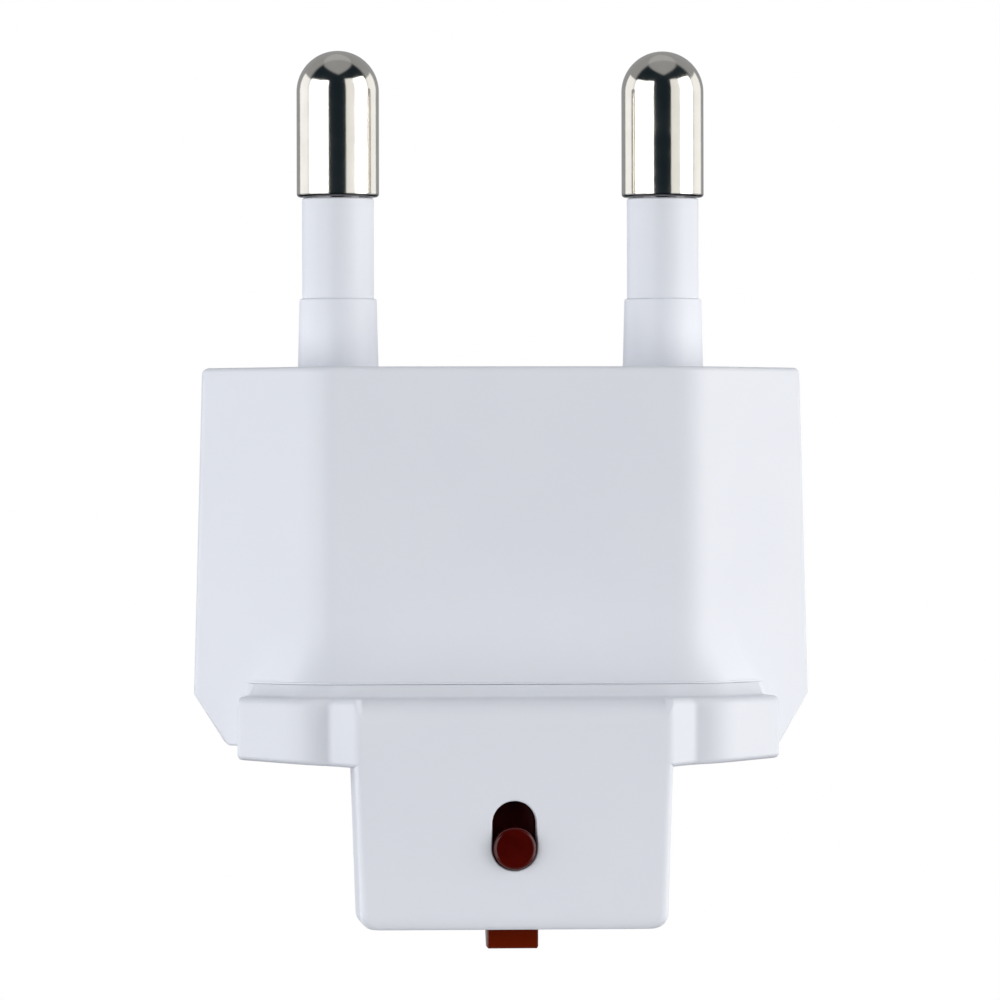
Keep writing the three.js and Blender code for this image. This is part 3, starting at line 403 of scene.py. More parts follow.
class Shader:
    """A Principled material whose colour, roughness and bump vary over the surface."""

    def __init__(self, name, **fixed):
        self.material = bpy.data.materials.new(name)
        self.material.use_nodes = True
        self.tree = self.material.node_tree
        self.shader = self.tree.nodes["Principled BSDF"]
        self.place = self.tree.nodes.new("ShaderNodeTexCoord").outputs["Object"]
        for socket, value in fixed.items():
            self.shader.inputs[socket.replace("_", " ")].default_value = value

    def noise(self, grain, detail=3.0, stretch=(1, 1, 1), distortion=0.0):
        """Noise whose features are about grain millimetres across."""
        mapping = self.tree.nodes.new("ShaderNodeMapping")
        mapping.inputs["Scale"].default_value = [s / (grain * MM) for s in stretch]
        self.tree.links.new(self.place, mapping.inputs["Vector"])
        texture = self.tree.nodes.new("ShaderNodeTexNoise")
        texture.inputs["Scale"].default_value = 1
        texture.inputs["Detail"].default_value = detail
        texture.inputs["Distortion"].default_value = distortion
        self.tree.links.new(mapping.outputs["Vector"], texture.inputs["Vector"])
        return texture.outputs["Fac"]

    def near_height(self, height, solid, clear):
        """1 within solid millimetres of a height, falling to 0 at clear millimetres from it."""
        parts = self.tree.nodes.new("ShaderNodeSeparateXYZ")
        self.tree.links.new(self.place, parts.inputs["Vector"])
        offset = self.tree.nodes.new("ShaderNodeMath")
        offset.operation = "SUBTRACT"
        offset.inputs[1].default_value = height * MM
        self.tree.links.new(parts.outputs["Z"], offset.inputs[0])
        distance = self.tree.nodes.new("ShaderNodeMath")
        distance.operation = "ABSOLUTE"
        self.tree.links.new(offset.outputs["Value"], distance.inputs[0])
        fall = self.tree.nodes.new("ShaderNodeMapRange")
        fall.interpolation_type = "SMOOTHSTEP"
        limits = (solid * MM, clear * MM, 1, 0)
        for socket, value in zip(("From Min", "From Max", "To Min", "To Max"), limits):
            fall.inputs[socket].default_value = value
        self.tree.links.new(distance.outputs["Value"], fall.inputs["Value"])
        return fall.outputs["Result"]

    def colours(self, factor, low, high):
        ramp = self.tree.nodes.new("ShaderNodeValToRGB")
        for element, position, colour in zip(ramp.color_ramp.elements, NOISE_RANGE, (low, high)):
            element.position = position
            element.color = (*colour, 1)
        self.tree.links.new(factor, ramp.inputs["Fac"])
        self.tree.links.new(ramp.outputs["Color"], self.shader.inputs["Base Color"])
        return self

    def tint(self, factor, colour):
        """Mixes one more colour over the base colour."""
        base = self.shader.inputs["Base Color"]
        under = base.links[0].from_socket
        mix = self.tree.nodes.new("ShaderNodeMix")
        mix.data_type = "RGBA"
        factors, unders, overs = (
            [socket for socket in mix.inputs if socket.name == name and socket.enabled]
            for name in ("Factor", "A", "B")
        )
        overs[0].default_value = (*colour, 1)
        self.tree.links.new(factor, factors[0])
        self.tree.links.new(under, unders[0])
        result = [socket for socket in mix.outputs if socket.enabled][0]
        self.tree.links.new(result, base)
        return self

    def roughness(self, factor, low, high):
        spread = self.tree.nodes.new("ShaderNodeMapRange")
        for socket, value in zip(("From Min", "From Max", "To Min", "To Max"), (*NOISE_RANGE, low, high)):
            spread.inputs[socket].default_value = value
        self.tree.links.new(factor, spread.inputs["Value"])
        self.tree.links.new(spread.outputs["Result"], self.shader.inputs["Roughness"])
        return self

    def bump(self, layers):
        """Bump from (height, strength, depth in millimetres) layers, one over the other."""
        normal = None
        for height, strength, depth in layers:
            bump = self.tree.nodes.new("ShaderNodeBump")
            bump.inputs["Strength"].default_value = strength
            bump.inputs["Distance"].default_value = depth * MM
            self.tree.links.new(height, bump.inputs["Height"])
            if normal:
                self.tree.links.new(normal, bump.inputs["Normal"])
            normal = bump.outputs["Normal"]
        self.tree.links.new(normal, self.shader.inputs["Normal"])
        return self


def white_plastic():
    """Satin moulded plastic: a fine spark-eroded grain and very slight flow variation."""
    shader = Shader("white_plastic", IOR=1.5)
    flow, grain = shader.noise(9, 2), shader.noise(0.22, 4)
    shader.colours(flow, (0.765, 0.783, 0.843), (0.785, 0.802, 0.86))
    shader.roughness(grain, 0.36, 0.5)
    shader.bump([(shader.noise(6, 1), 0.25, 0.02), (grain, 0.22, 0.006)])
    return shader.material


def latch_plastic():
    """Glossy dark red plastic, a little scuffed by the thumb, with painted light making the tip brighter near
    its bottom.
    """
    shader = Shader("latch_plastic", IOR=1.37)
    cloud, grain = shader.noise(1.2, 3), shader.noise(0.12, 4)
    shader.colours(cloud, (0.048, 0.0012, 0.0003), (0.068, 0.0022, 0.0004))
    # painted light: the colour brightens towards the tip's bottom to stand in for the light from below that
    # falls on it
    shader.tint(shader.near_height(TIP_BOTTOM, 1.2, 1.6), (0.115, 0.0085, 0.0003))
    shader.roughness(cloud, 0.13, 0.2)
    shader.bump([(grain, 0.15, 0.002)])
    return shader.material


def nickel_plate():
    """Bright nickel plating with fine drawn scratches and a few pits, with painted shade darkening the rim at
    its foot against the sleeve.
    """
    shader = Shader("nickel_plate", Metallic=1.0)
    scratches = shader.noise(0.06, 3, stretch=(1, 1, 0.03))
    cloud = shader.noise(1.6, 3)
    pits = shader.noise(0.35, 6, distortion=1.5)
    shader.colours(cloud, (0.66, 0.635, 0.585), (0.72, 0.695, 0.645))
    # painted shade: a dark band round the metal's foot stands in for the shade and dark reflection where the
    # pin meets its sleeve
    shader.tint(shader.near_height(METAL_FOOT, 0.1, 0.22), (0.15, 0.145, 0.15))
    shader.roughness(cloud, 0.1, 0.16)
    shader.bump([(scratches, 0.05, 0.002), (pits, 0.12, 0.008)])
    return shader.material


def plain_metal(name, low, high, roughness):
    """Rolled or drawn metal with a fine grain along the strip and slight tarnish."""
    shader = Shader(name, Metallic=1.0)
    tarnish, grain = shader.noise(1.4, 4), shader.noise(0.08, 3, stretch=(1, 1, 0.1))
    shader.colours(tarnish, low, high)
    shader.roughness(tarnish, *roughness)
    shader.bump([(grain, 0.12, 0.003)])
    return shader.material


def carrier_plastic():
    """Matt glass-filled plastic with a mottled grey surface."""
    shader = Shader("carrier_plastic", IOR=1.5)
    fibres = shader.noise(0.3, 5, distortion=2.0)
    shader.colours(fibres, (0.036, 0.039, 0.043), (0.052, 0.055, 0.06))
    shader.roughness(fibres, 0.5, 0.68)
    shader.bump([(fibres, 0.2, 0.01)])
    return shader.material


MATERIALS = {
    "white_plastic": white_plastic(),
    "latch_plastic": latch_plastic(),
    "nickel_plate": nickel_plate(),
    "spring_steel": plain_metal("spring_steel", (0.52, 0.53, 0.54), (0.6, 0.61, 0.62), (0.22, 0.34)),
    "brass": plain_metal("brass", (0.62, 0.44, 0.16), (0.7, 0.52, 0.21), (0.26, 0.4)),
    "contact_bronze": plain_metal("contact_bronze", (0.52, 0.3, 0.14), (0.6, 0.36, 0.18), (0.26, 0.4)),
    "screw_steel": plain_metal("screw_steel", (0.4, 0.41, 0.42), (0.5, 0.51, 0.52), (0.26, 0.4)),
    "carrier_plastic": carrier_plastic(),
}

# ---------------------------------------------------------------- body

WING_SLOPE = (BODY_HALF_DEPTH - EDGE_HALF_DEPTH) / (BODY_TOP_HALF_WIDTH - FLAT_HALF_WIDTH)


def wing_depth(x):
    return BODY_HALF_DEPTH - (x - FLAT_HALF_WIDTH) * WING_SLOPE


def body_half_width(z):
    if z >= CORNER_TOP:
        return lerp(BODY_TOP_HALF_WIDTH, BODY_LOW_HALF_WIDTH, z / CORNER_TOP)
    fall = (z - CORNER_TOP) / (BODY_BOTTOM - CORNER_TOP)
    return lerp(BODY_LOW_HALF_WIDTH, CORNER_FOOT_HALF_WIDTH, fall)


def body_outline(z, inset=0.0, flare=0.0):
    """The body's outline at one height; flare sweeps the front out, from 0 to its full reach at 1."""
    wing = math.atan(WING_SLOPE)
    set_in = inset / math.cos(wing)
    flat_x, flat_y = FLAT_HALF_WIDTH - inset * math.tan(wing / 2), BODY_HALF_DEPTH - inset
    foot_x = lerp(WING_FOOT, WING_FOOT_FLARED, flare)
    widest = FLAT_HALF_WIDTH + (BODY_HALF_DEPTH - LEAST_EDGE - set_in) / WING_SLOPE
    edge_x = min(body_half_width(z) - inset, widest)
    edge_y = wing_depth(edge_x) - set_in
    edge_round = min(EDGE_ROUND, EDGE_ROUND_SHARE * edge_y)
    front_round = lerp(FRONT_ROUND, FLARED_ROUND, flare)
    half = [
        (flat_x + FLARE_SPREAD * flare, -flat_y - FLARE_REACH * flare, front_round),
        (foot_x, set_in - wing_depth(foot_x), WING_FOOT_ROUND),
        (edge_x, -edge_y, edge_round),
        (edge_x, edge_y, edge_round),
        (flat_x, flat_y, FRONT_ROUND),
    ]
    return at_height(eased(mirrored(half)), z)


def body_envelope(is_flared):
    sections = []
    for angle in quarter_turn(15):
        inset = FLOOR_EDGE * (1 - math.sin(angle))
        sections.append(body_outline(BODY_BOTTOM + FLOOR_EDGE * (1 - math.cos(angle)), inset))
    sections.append(body_outline(CORNER_TOP))
    if is_flared:
        # the flare is a circular sweep, steepest at its rounded lip above the seam
        sections.append(body_outline(SEAM - HAIR))
        for turn in (0, 22, 45, 67):
            angle = math.radians(turn)
            flare = 1 - (1 - math.sin(angle)) * LIP / FLARE_REACH
            sections.append(body_outline(SEAM + LIP * (1 - math.cos(angle)), flare=flare))
        height = FLARE_TOP - SEAM
        sweep = 2 * math.atan(FLARE_REACH / height)
        steps = 28
        for i in range(steps, -1, -1):
            angle = sweep * i / steps
            z = FLARE_TOP - height * math.sin(angle) / math.sin(sweep)
            flare = (1 - math.cos(angle)) / (1 - math.cos(sweep))
            sections.append(body_outline(max(z, SEAM + LIP), flare=flare))
    for angle in quarter_turn(10):
        z = TOP_EDGE_RADIUS * (math.sin(angle) - 1)
        sections.append(body_outline(z, TOP_EDGE_RADIUS * (1 - math.cos(angle))))
    return loft("envelope", sections)


def body_cavity(top):
    return loft("cavity", [body_outline(z, WALL) for z in (FLOOR_TOP, CORNER_TOP, top)])


def inward_ribs(y_range):
    places = [(side, z_range) for side in (-1, 1) for z_range in (UPPER_RIB_Z, LOWER_RIB_Z)]
    return [block(on_side(side, *RIB_X), y_range, z_range) for side, z_range in places]


def main_housing():
    behind_cover = block((-FAR, FAR), (COVER_FRONT - SNUG, FAR), (BODY_BOTTOM - BEYOND, -TOP_WALL - SNUG))
    shell = cut(body_envelope(True), body_cavity(-TOP_WALL), behind_cover)
    posts = [rod_along_y(POST_RADIUS, 0, z, (-BODY_HALF_DEPTH + WALL / 2, 0)) for z in SCREW_POSTS]
    shell = joined(shell, *posts, *inward_ribs(FRONT_RIB_Y))
    openings = [rod_along_y(PILOT_RADIUS, 0, z, (PILOT_END, PAST)) for z in SCREW_POSTS]
    port_z = (BODY_BOTTOM - PAST, FLOOR_TOP + PAST)
    screw_y = (-BODY_HALF_DEPTH - PAST, TONGUE_BACK)
    for side in (-1, 1):
        x = side * PORT_X
        openings.append(rod_along_z(COLLAR_FOOT_RADIUS + SNUG, x, 0, (-TOP_WALL - PAST, PAST)))
        openings.append(block((x - PORT_HALF_WIDTH, x + PORT_HALF_WIDTH), PORT_Y, port_z))
        openings.append(rod_along_y(SHELF_SCREW_HOLE, side * SHELF_SCREW_X, SHELF_SCREW_Z, screw_y))
    return cut(shell, *openings)


def rear_cover():
    front = block((-FAR, FAR), (-FAR, COVER_FRONT), (BODY_BOTTOM - BEYOND, BEYOND))
    roof = block((-FAR, FAR), (-FAR, FAR), (-TOP_WALL - 2 * SNUG, BEYOND))
    shell = cut(body_envelope(False), front, roof, body_cavity(-TOP_WALL + BEYOND))
    post_y = (SNUG, BODY_HALF_DEPTH - WALL / 2)
    posts = [rod_along_y(COVER_POST_RADIUS, 0, z, post_y) for z in SCREW_POSTS]
    shell = joined(shell, *posts, *inward_ribs(REAR_RIB_Y))
    holes = [rod_along_y(COVER_HOLE_RADIUS, 0, z, (-PAST, COVER_HOLE_END)) for z in SCREW_POSTS]
    recess_y = (HEAD_SEAT_Y, BODY_HALF_DEPTH)
    recesses = [rod_along_y(HEAD_RECESS_RADIUS, 0, z, recess_y, HEAD_RECESS_MOUTH) for z in SCREW_POSTS]
    return cut(shell, *holes, *recesses)


# ---------------------------------------------------------------- latch housing


def seam_outline():
    """The line under the flare where the ledge starts."""
    seam_y = -BODY_HALF_DEPTH - FLARE_REACH
    corner = Vector((FLAT_HALF_WIDTH + FLARE_SPREAD, seam_y))
    foot = Vector((WING_FOOT_FLARED, -wing_depth(WING_FOOT_FLARED) - 2 * SNUG))
    half = [
        (BLOCK_HALF_WIDTH - SEAM_BLOCK_INSETS[0], seam_y, CREASE),
        (BLOCK_FOOT_HALF_WIDTH - SEAM_BLOCK_INSETS[1], seam_y, CREASE),
        (*corner, FLARED_ROUND),
        (*corner.lerp(foot, SEAM_TURN_SHARE), CREASE),
        (*foot, SHELF_CREASE),
        (FLAT_HALF_WIDTH, -BODY_HALF_DEPTH - SNUG, REAR_CORNER),
    ]
    return eased(mirrored(half))


def shelf_outline(inset=0.0):
    """The shelf's outline below the ledge, moved inwards, corner for corner with the seam."""
    end_y = SHELF_FRONT + (SHELF_HALF_WIDTH - SHELF_FLAT_HALF_WIDTH) * WING_SLOPE
    rear_x = SHELF_REAR_HALF_WIDTH - inset
    half = [
        (BLOCK_HALF_WIDTH - inset, TONGUE_FRONT + inset, BLOCK_CORNER),
        (BLOCK_FOOT_HALF_WIDTH - inset, SHELF_FRONT + inset, BLOCK_FOOT_CORNER),
        (SHELF_FLAT_HALF_WIDTH - inset, SHELF_FRONT + inset, SHELF_TURN),
        (SHELF_HALF_WIDTH - inset, end_y + inset, SHELF_CORNER),
        (rear_x, -wing_depth(rear_x) - 2 * SNUG, SHELF_CREASE),
        (FLAT_HALF_WIDTH, -BODY_HALF_DEPTH - 2 * SNUG, REAR_CORNER),
    ]
    return eased(mirrored(half))


def smooth(value, low, high):
    share = clamp((value - low) / (high - low))
    return share * share * (3 - 2 * share)


def ledge_profile(seam, outer):
    """One line up the ledge: a rolled edge, a narrow step and a steep strip that ends at the seam."""
    reach, top = (outer - seam).length, SEAM - SEAM_GAP
    off_block = smooth(abs(outer.x), BLOCK_HALF_WIDTH - BLOCK_CORNER, BLOCK_HALF_WIDTH + BLOCK_CORNER / 2)
    rounding = lerp(LEDGE_ROUND["block"], LEDGE_ROUND["shelf"], off_block)
    edge_z = top - lerp(LEDGE_DROP["block"], LEDGE_DROP["shelf"], off_block)
    back = min(rounding, reach / 2)
    profile = []
    for angle in quarter_turn(9):
        out = reach - back * (1 - math.cos(angle))
        profile.append(Vector((out, edge_z - rounding * (1 - math.sin(angle)))))
    end, edge = Vector((0, top)), profile[-1]
    foot = Vector((min(STRIP_REACH, reach / 2), top - STRIP_DROP))
    fillet = min(STRIP_FILLET, (edge - foot).length / 2)
    start = foot + (edge - foot).normalized() * fillet
    stop = foot + (end - foot).normalized() * fillet
    profile += [*bend(start, foot, stop, 5), end]
    return [(*seam.lerp(outer, out / reach), z) for out, z in profile]


def shelf_body():
    """The shelf with its ledge; its underside climbs a little towards the ends."""
    sections = []
    for angle in quarter_turn(15):
        inset = SHELF_EDGE * (1 - math.sin(angle))
        sections.append(at_height(shelf_outline(inset), SHELF_BOTTOM + SHELF_EDGE * (1 - math.cos(angle))))
    lines = [ledge_profile(seam, outer) for seam, outer in zip(seam_outline(), shelf_outline())]
    sections += [list(section) for section in zip(*lines)]
    shelf = loft("shelf", sections)
    editable = bmesh.new()
    editable.from_mesh(shelf.data)
    for side in (-1, 1):
        everything = editable.verts[:] + editable.edges[:] + editable.faces[:]
        plane = Vector((side * TONGUE_TOP_HALF_WIDTH * MM, 0, 0))
        bmesh.ops.bisect_plane(editable, geom=everything, plane_co=plane, plane_no=(1, 0, 0))
    for vertex in editable.verts:
        if vertex.co.z < (SHELF_BOTTOM + SHELF_EDGE + HAIR) * MM:
            beyond = clamp((abs(vertex.co.x) / MM - TONGUE_TOP_HALF_WIDTH) / SHELF_END_SPAN)
            vertex.co.z += SHELF_END_RISE * beyond * MM
    editable.to_mesh(shelf.data)
    editable.free()
    return shelf


def tongue_body():
    def section(half_width, inset, z):
        front = (half_width, TONGUE_FRONT + inset, TONGUE_FRONT_ROUND)
        back = (half_width, TONGUE_BACK - inset, TONGUE_REAR_ROUND)
        return at_height(eased(mirrored([front, back])), z)

    sections = []
    for angle in quarter_turn(9):
        short = 1 - math.sin(angle)
        half_width = TONGUE_LOW_HALF_WIDTH - TONGUE_CORNER * short
        z = TONGUE_BOTTOM + TONGUE_CORNER * (1 - math.cos(angle))
        sections.append(section(half_width, TONGUE_FRONT_EDGE * short, z))
    sections.append(section(TONGUE_TOP_HALF_WIDTH, 0, BODY_BOTTOM - SNUG))
    return loft("tongue", sections)


def slot_opening():
    """An obround along Y whose mouth is slightly rounded."""
    low, high = SLOT_LOW + SLOT_HALF_WIDTH, SLOT_HIGH - SLOT_HALF_WIDTH
    widened, proud = 0.02, 0.3  # outside the front, clear of its surface
    mouth = [(SLOT_MOUTH + widened, TONGUE_FRONT - proud)]
    for angle in quarter_turn(15):
        mouth.append((SLOT_MOUTH * (1 - math.sin(angle)), TONGUE_FRONT + SLOT_MOUTH * (1 - math.cos(angle))))
    mouth.append((0, TONGUE_INNER_FRONT + BEYOND))
    sections = []
    for widening, y in mouth:
        radius = SLOT_HALF_WIDTH + widening
        outline = arc((0, high), radius, 0, 180, 32) + arc((0, low), radius, 180, 360, 32)
        sections.append([(x, y, z) for x, z in outline])
    return loft("slot", sections)


def latch_housing():
    sides = (-1, 1)
    inner_top = BODY_BOTTOM - SNUG
    inner_x = (-TONGUE_INNER_HALF_WIDTH, TONGUE_INNER_HALF_WIDTH)
    pocket_x = (-SPRING_POCKET_HALF_WIDTH, SPRING_POCKET_HALF_WIDTH)
    hollow = block(inner_x, (TONGUE_INNER_FRONT, TONGUE_BACK + BEYOND), (TONGUE_INNER_BOTTOM, inner_top))
    pocket = block(pocket_x, (SPRING_POCKET_FRONT, TONGUE_BACK), (inner_top - BEYOND, SPRING_SEAT))
    shell = cut(joined(shelf_body(), tongue_body()), hollow, pocket)
    root = TONGUE_INNER_FRONT - ROOT
    rail_z = (TONGUE_INNER_BOTTOM - ROOT, RAIL_TOP)
    pad_y, post_y = (root, SLIDER_FRONT - 2 * SNUG), (root, INSIDE_BACK)
    inside = [block(on_side(side, *GUIDE_X), post_y, rail_z) for side in sides]
    inside += [block(on_side(side, *PAD_X), pad_y, rail_z) for side in sides]
    inside += [rod_along_y(COVER_SCREW_POST, side * COVER_SCREW_X, COVER_SCREW_Z, post_y) for side in sides]
    shell = joined(shell, *inside)
    tip_x = (-TIP_HALF_WIDTH - TIP_CLEARANCE, TIP_HALF_WIDTH + TIP_CLEARANCE)
    tip_y = (TIP_FRONT - TIP_CLEARANCE, TIP_BACK + TIP_CLEARANCE)
    openings = [slot_opening()]
    openings.append(block(tip_x, tip_y, (TONGUE_BOTTOM - BEYOND, TONGUE_INNER_BOTTOM + BEYOND)))
    cover_pilot_y, shelf_pilot_y = (COVER_SCREW_END, PILOT_MOUTH), (SHELF_SCREW_END, PILOT_MOUTH)
    for side in sides:
        openings.append(rod_along_y(COVER_SCREW_PILOT, side * COVER_SCREW_X, COVER_SCREW_Z, cover_pilot_y))
        openings.append(rod_along_y(SHELF_SCREW_HOLE, side * SHELF_SCREW_X, SHELF_SCREW_Z, shelf_pilot_y))
    return cut(shell, *openings)


def latch_cover():
    half_width = TONGUE_INNER_HALF_WIDTH - SNUG
    z_range = (TONGUE_INNER_BOTTOM + SNUG, BODY_BOTTOM - 2 * SNUG)
    plate = block((-half_width, half_width), (LATCH_COVER_FRONT, TONGUE_BACK), z_range, PLATE_EDGE)
    hole_y = (LATCH_COVER_FRONT - BEYOND, TONGUE_BACK - PAST)
    recess_y = (TONGUE_BACK - COVER_SCREW_SUNK, TONGUE_BACK)
    holes = []
    for side in (-1, 1):
        x = side * COVER_SCREW_X
        holes.append(rod_along_y(COVER_SCREW_HOLE, x, COVER_SCREW_Z, hole_y))
        holes.append(rod_along_y(COVER_SCREW_RECESS, x, COVER_SCREW_Z, recess_y, COVER_RECESS_MOUTH))
    return cut(plate, *holes)


# ---------------------------------------------------------------- latch


def latch_button():
    """A round stud with a rolled rim, along -Y."""
    back = SLIDER_FRONT + PAST
    length = back - BUTTON_FRONT
    rim = arc((BUTTON_RADIUS - BUTTON_RIM, length - BUTTON_RIM), BUTTON_RIM, 0, 90, 10)
    stud = turned("button", [(0, 0), (BUTTON_RADIUS, 0), *rim, (0, length)])
    for vertex in stud.data.vertices:
        x, y, z = vertex.co
        vertex.co = (x, -z, y)
    return shifted(stud, y=back, z=BUTTON_Z)


def latch_tip():
    """The catch, bevelled behind so that it rides over its keeper as the tongue goes in."""
    front_round, bevel_round, square = 0.15, 0.12, 0.01
    corners = [
        (TIP_FRONT, TIP_BOTTOM, front_round),
        (TIP_BACK - TIP_BEVEL_DEPTH, TIP_BOTTOM, bevel_round),
        (TIP_BACK, TIP_BOTTOM + TIP_BEVEL_HEIGHT, bevel_round),
        (TIP_BACK, TIP_TOP, square),
        (TIP_FRONT, TIP_TOP, square),
    ]
    profile = eased(corners, 6)
    centre = Vector(((TIP_FRONT + TIP_BACK) / 2, (TIP_BOTTOM + TIP_TOP) / 2))
    inner = TIP_HALF_WIDTH - TIP_EDGE
    ends = ((-TIP_HALF_WIDTH, 1 - TIP_EDGE), (-inner, 1), (inner, 1), (TIP_HALF_WIDTH, 1 - TIP_EDGE))
    return loft("tip", [[(x, *centre.lerp(point, scale)) for point in profile] for x, scale in ends])


def latch_slider():
    width = (-SLIDER_HALF_WIDTH, SLIDER_HALF_WIDTH)
    plate_z = (TONGUE_INNER_BOTTOM + SNUG, SLIDER_TOP)
    plate = block(width, (SLIDER_FRONT, SLIDER_BACK), plate_z, PLATE_EDGE)
    spigot = rod_along_z(SPIGOT_RADIUS, 0, LATCH_AXIS_Y, (SLIDER_TOP - PAST, SLIDER_TOP + SPIGOT_HEIGHT))
    foot_x = (-SPRING_FOOT_HALF_WIDTH, SPRING_FOOT_HALF_WIDTH)
    foot = block(foot_x, (SPRING_FOOT_FRONT, SLIDER_BACK), (SLIDER_TOP - SPRING_FOOT_HEIGHT, SLIDER_TOP))
    return joined(plate, foot, latch_button(), spigot, latch_tip())


def latch_spring():
    """A compression spring with a closed turn at each end, drawn as one bent wire."""
    steps, sides = 420, 14
    nudge = 0.001  # to either side along the wire, for its direction
    low = SLIDER_TOP + SPRING_WIRE_RADIUS + SPRING_END_GAP
    high = SPRING_SEAT - SPRING_WIRE_RADIUS - SPRING_END_GAP
    closed = 1 / SPRING_TURNS  # the share of the wire that each end turn takes
    rise = 2 * SPRING_WIRE_RADIUS + SPRING_TURN_GAP

    def smoother(t, start, end):
        s = clamp((t - start) / (end - start))
        return s * s * s * (s * (s * 6 - 15) + 10)

    def centre(t):
        ends = smoother(t, 0, 2 * closed) + smoother(t, 1 - 2 * closed, 1)
        middle = clamp((t - closed) / (1 - 2 * closed))
        angle = 2 * math.pi * SPRING_TURNS * t
        z = low + rise * ends * 0.5 + (high - low - rise) * middle
        return Vector((SPRING_RADIUS * math.cos(angle), LATCH_AXIS_Y + SPRING_RADIUS * math.sin(angle), z))

    sections = []
    for i in range(steps + 1):
        t = i / steps
        along = (centre(min(t + nudge, 1)) - centre(max(t - nudge, 0))).normalized()
        angle = 2 * math.pi * SPRING_TURNS * t
        outward = Vector((math.cos(angle), math.sin(angle), 0))
        upward = along.cross(outward).normalized()
        ring = []
        for side in range(sides):
            turn = 2 * math.pi * side / sides
            offset = outward * math.cos(turn) + upward * math.sin(turn)
            ring.append(tuple(centre(t) + offset * SPRING_WIRE_RADIUS))
        sections.append(ring)
    return loft("spring", sections)


# ---------------------------------------------------------------- pins, sleeves and screws


def centre_of(node):
    low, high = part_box(node)
    return (low + high) / 2 / MM


def pin(node):
    low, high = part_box(node)
    foot, tip = low.z / MM, high.z / MM
    profile = [
        (0, foot),
        (TAIL_RADIUS - TAIL_CHAMFER, foot),
        (TAIL_RADIUS, foot + TAIL_CHAMFER),
        (TAIL_RADIUS, FLANGE_LOW),
        (FLANGE_RADIUS, FLANGE_LOW),
        (FLANGE_RADIUS, FLANGE_HIGH),
        (NECK_RADIUS, FLANGE_HIGH),
        (NECK_RADIUS, METAL_FOOT),
    ]
    profile += arc((PIN_RADIUS - RIM_RADIUS, METAL_FOOT + RIM_RADIUS), RIM_RADIUS, -90, 0, 8)
    profile += arc((0, tip - PIN_RADIUS), PIN_RADIUS, 0, 88, 44)
    profile.append((0, tip))
    return shifted(turned(node, profile), x=centre_of(node).x)


def pin_sleeve(node):
    bore = NECK_RADIUS + SNUG
    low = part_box(node)[0].z / MM
    step, top = 0.08, METAL_FOOT - SNUG
    profile = [
        (bore, low),
        (FLANGE_RADIUS, low),
        (FLANGE_RADIUS, -TOP_WALL - SNUG),
        (COLLAR_FOOT_RADIUS, -TOP_WALL - SNUG),
        (COLLAR_FOOT_RADIUS, 0),
    ]
    profile += arc((COLLAR_TOP_RADIUS - step, COLLAR_TOP - step), step, 0, 90, 6)
    profile += arc((SLEEVE_TOP_RADIUS + step, COLLAR_TOP + step), step, 270, 180, 6)
    rounding_centre = (SLEEVE_TOP_RADIUS - SLEEVE_TOP_ROUND, top - SLEEVE_TOP_ROUND)
    profile += arc(rounding_centre, SLEEVE_TOP_ROUND, 0, 90, 6)
    profile.append((bore, top))
    return shifted(turned(node, profile, is_ring=True), x=centre_of(node).x)


SCREWS = {
    "rear_cover_screw": dict(head_radius=1.5, head_height=1.1, shank_radius=0.8),
    "latch_housing_screw": dict(head_radius=0.95, head_height=0.65, shank_radius=0.6),
    "latch_cover_screw": dict(head_radius=1.3, head_height=0.75, shank_radius=0.65),
}


def screw(node, head_radius, head_height, shank_radius):
    """A self-tapping screw with a domed head and a tapered cross recess, facing +Y."""
    low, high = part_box(node)
    length = (high.y - low.y) / MM
    tip_length, point = 0.6, 0.35 * shank_radius
    profile = [
        (0, -length),
        (point, -length),
        (shank_radius, -length + tip_length),
        (shank_radius, -head_height),
        (head_radius, -head_height),
    ]
    rise, flat, steps = 0.3 * head_height, 0.72, 8  # the dome, with the flat share of the head's top
    for i in range(steps + 1):
        angle = math.pi / 2 * i / steps
        radius = head_radius * (flat + (1 - flat) * math.cos(angle))
        profile.append((radius, rise * (math.sin(angle) - 1)))
    profile.append((0, 0))
    body = turned(node, profile, SMALL_ROUND)
    depth, clear = 0.55 * head_height, 0.3  # the recess narrows from above the head to its foot
    arm_length, arm_width = head_radius * 0.55, head_radius * 0.14
    arms = []
    for is_across in (False, True):
        sections = []
        for z, share in ((-depth, 0.62), (clear, 1.12)):
            long, thin = arm_length * share, arm_width * (0.6 + 0.4 * share)
            x, y = (long, thin) if is_across else (thin, long)
            sections.append([(-x, -y, z), (x, -y, z), (x, y, z), (-x, y, z)])
        arms.append(loft("arm", sections))
    centre = centre_of(node)
    return shifted(facing_back(cut(body, *arms)), x=centre.x, y=high.y / MM, z=centre.z)


# ---------------------------------------------------------------- assembly

for build in (main_housing, rear_cover, latch_housing, latch_cover):
    finished(build(), build.__name__, "plug_body", "white_plastic")
finished(latch_slider(), "latch_slider", "latch", "latch_plastic")
spring = finished(latch_spring(), "latch_spring", "plug_body", "spring_steel")
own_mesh(spring)

for side in ("left", "right"):
    finished(pin(f"pin_{side}"), f"pin_{side}", "plug_body", "nickel_plate")
    finished(pin_sleeve(f"pin_sleeve_{side}"), f"pin_sleeve_{side}", "plug_body", "white_plastic")

for kind, sizes in SCREWS.items():
    for place in ("upper", "lower") if kind == "rear_cover_screw" else ("left", "right"):
        node = f"{kind}_{place}"
        finished(screw(node, **sizes), node, "plug_body", "screw_steel")

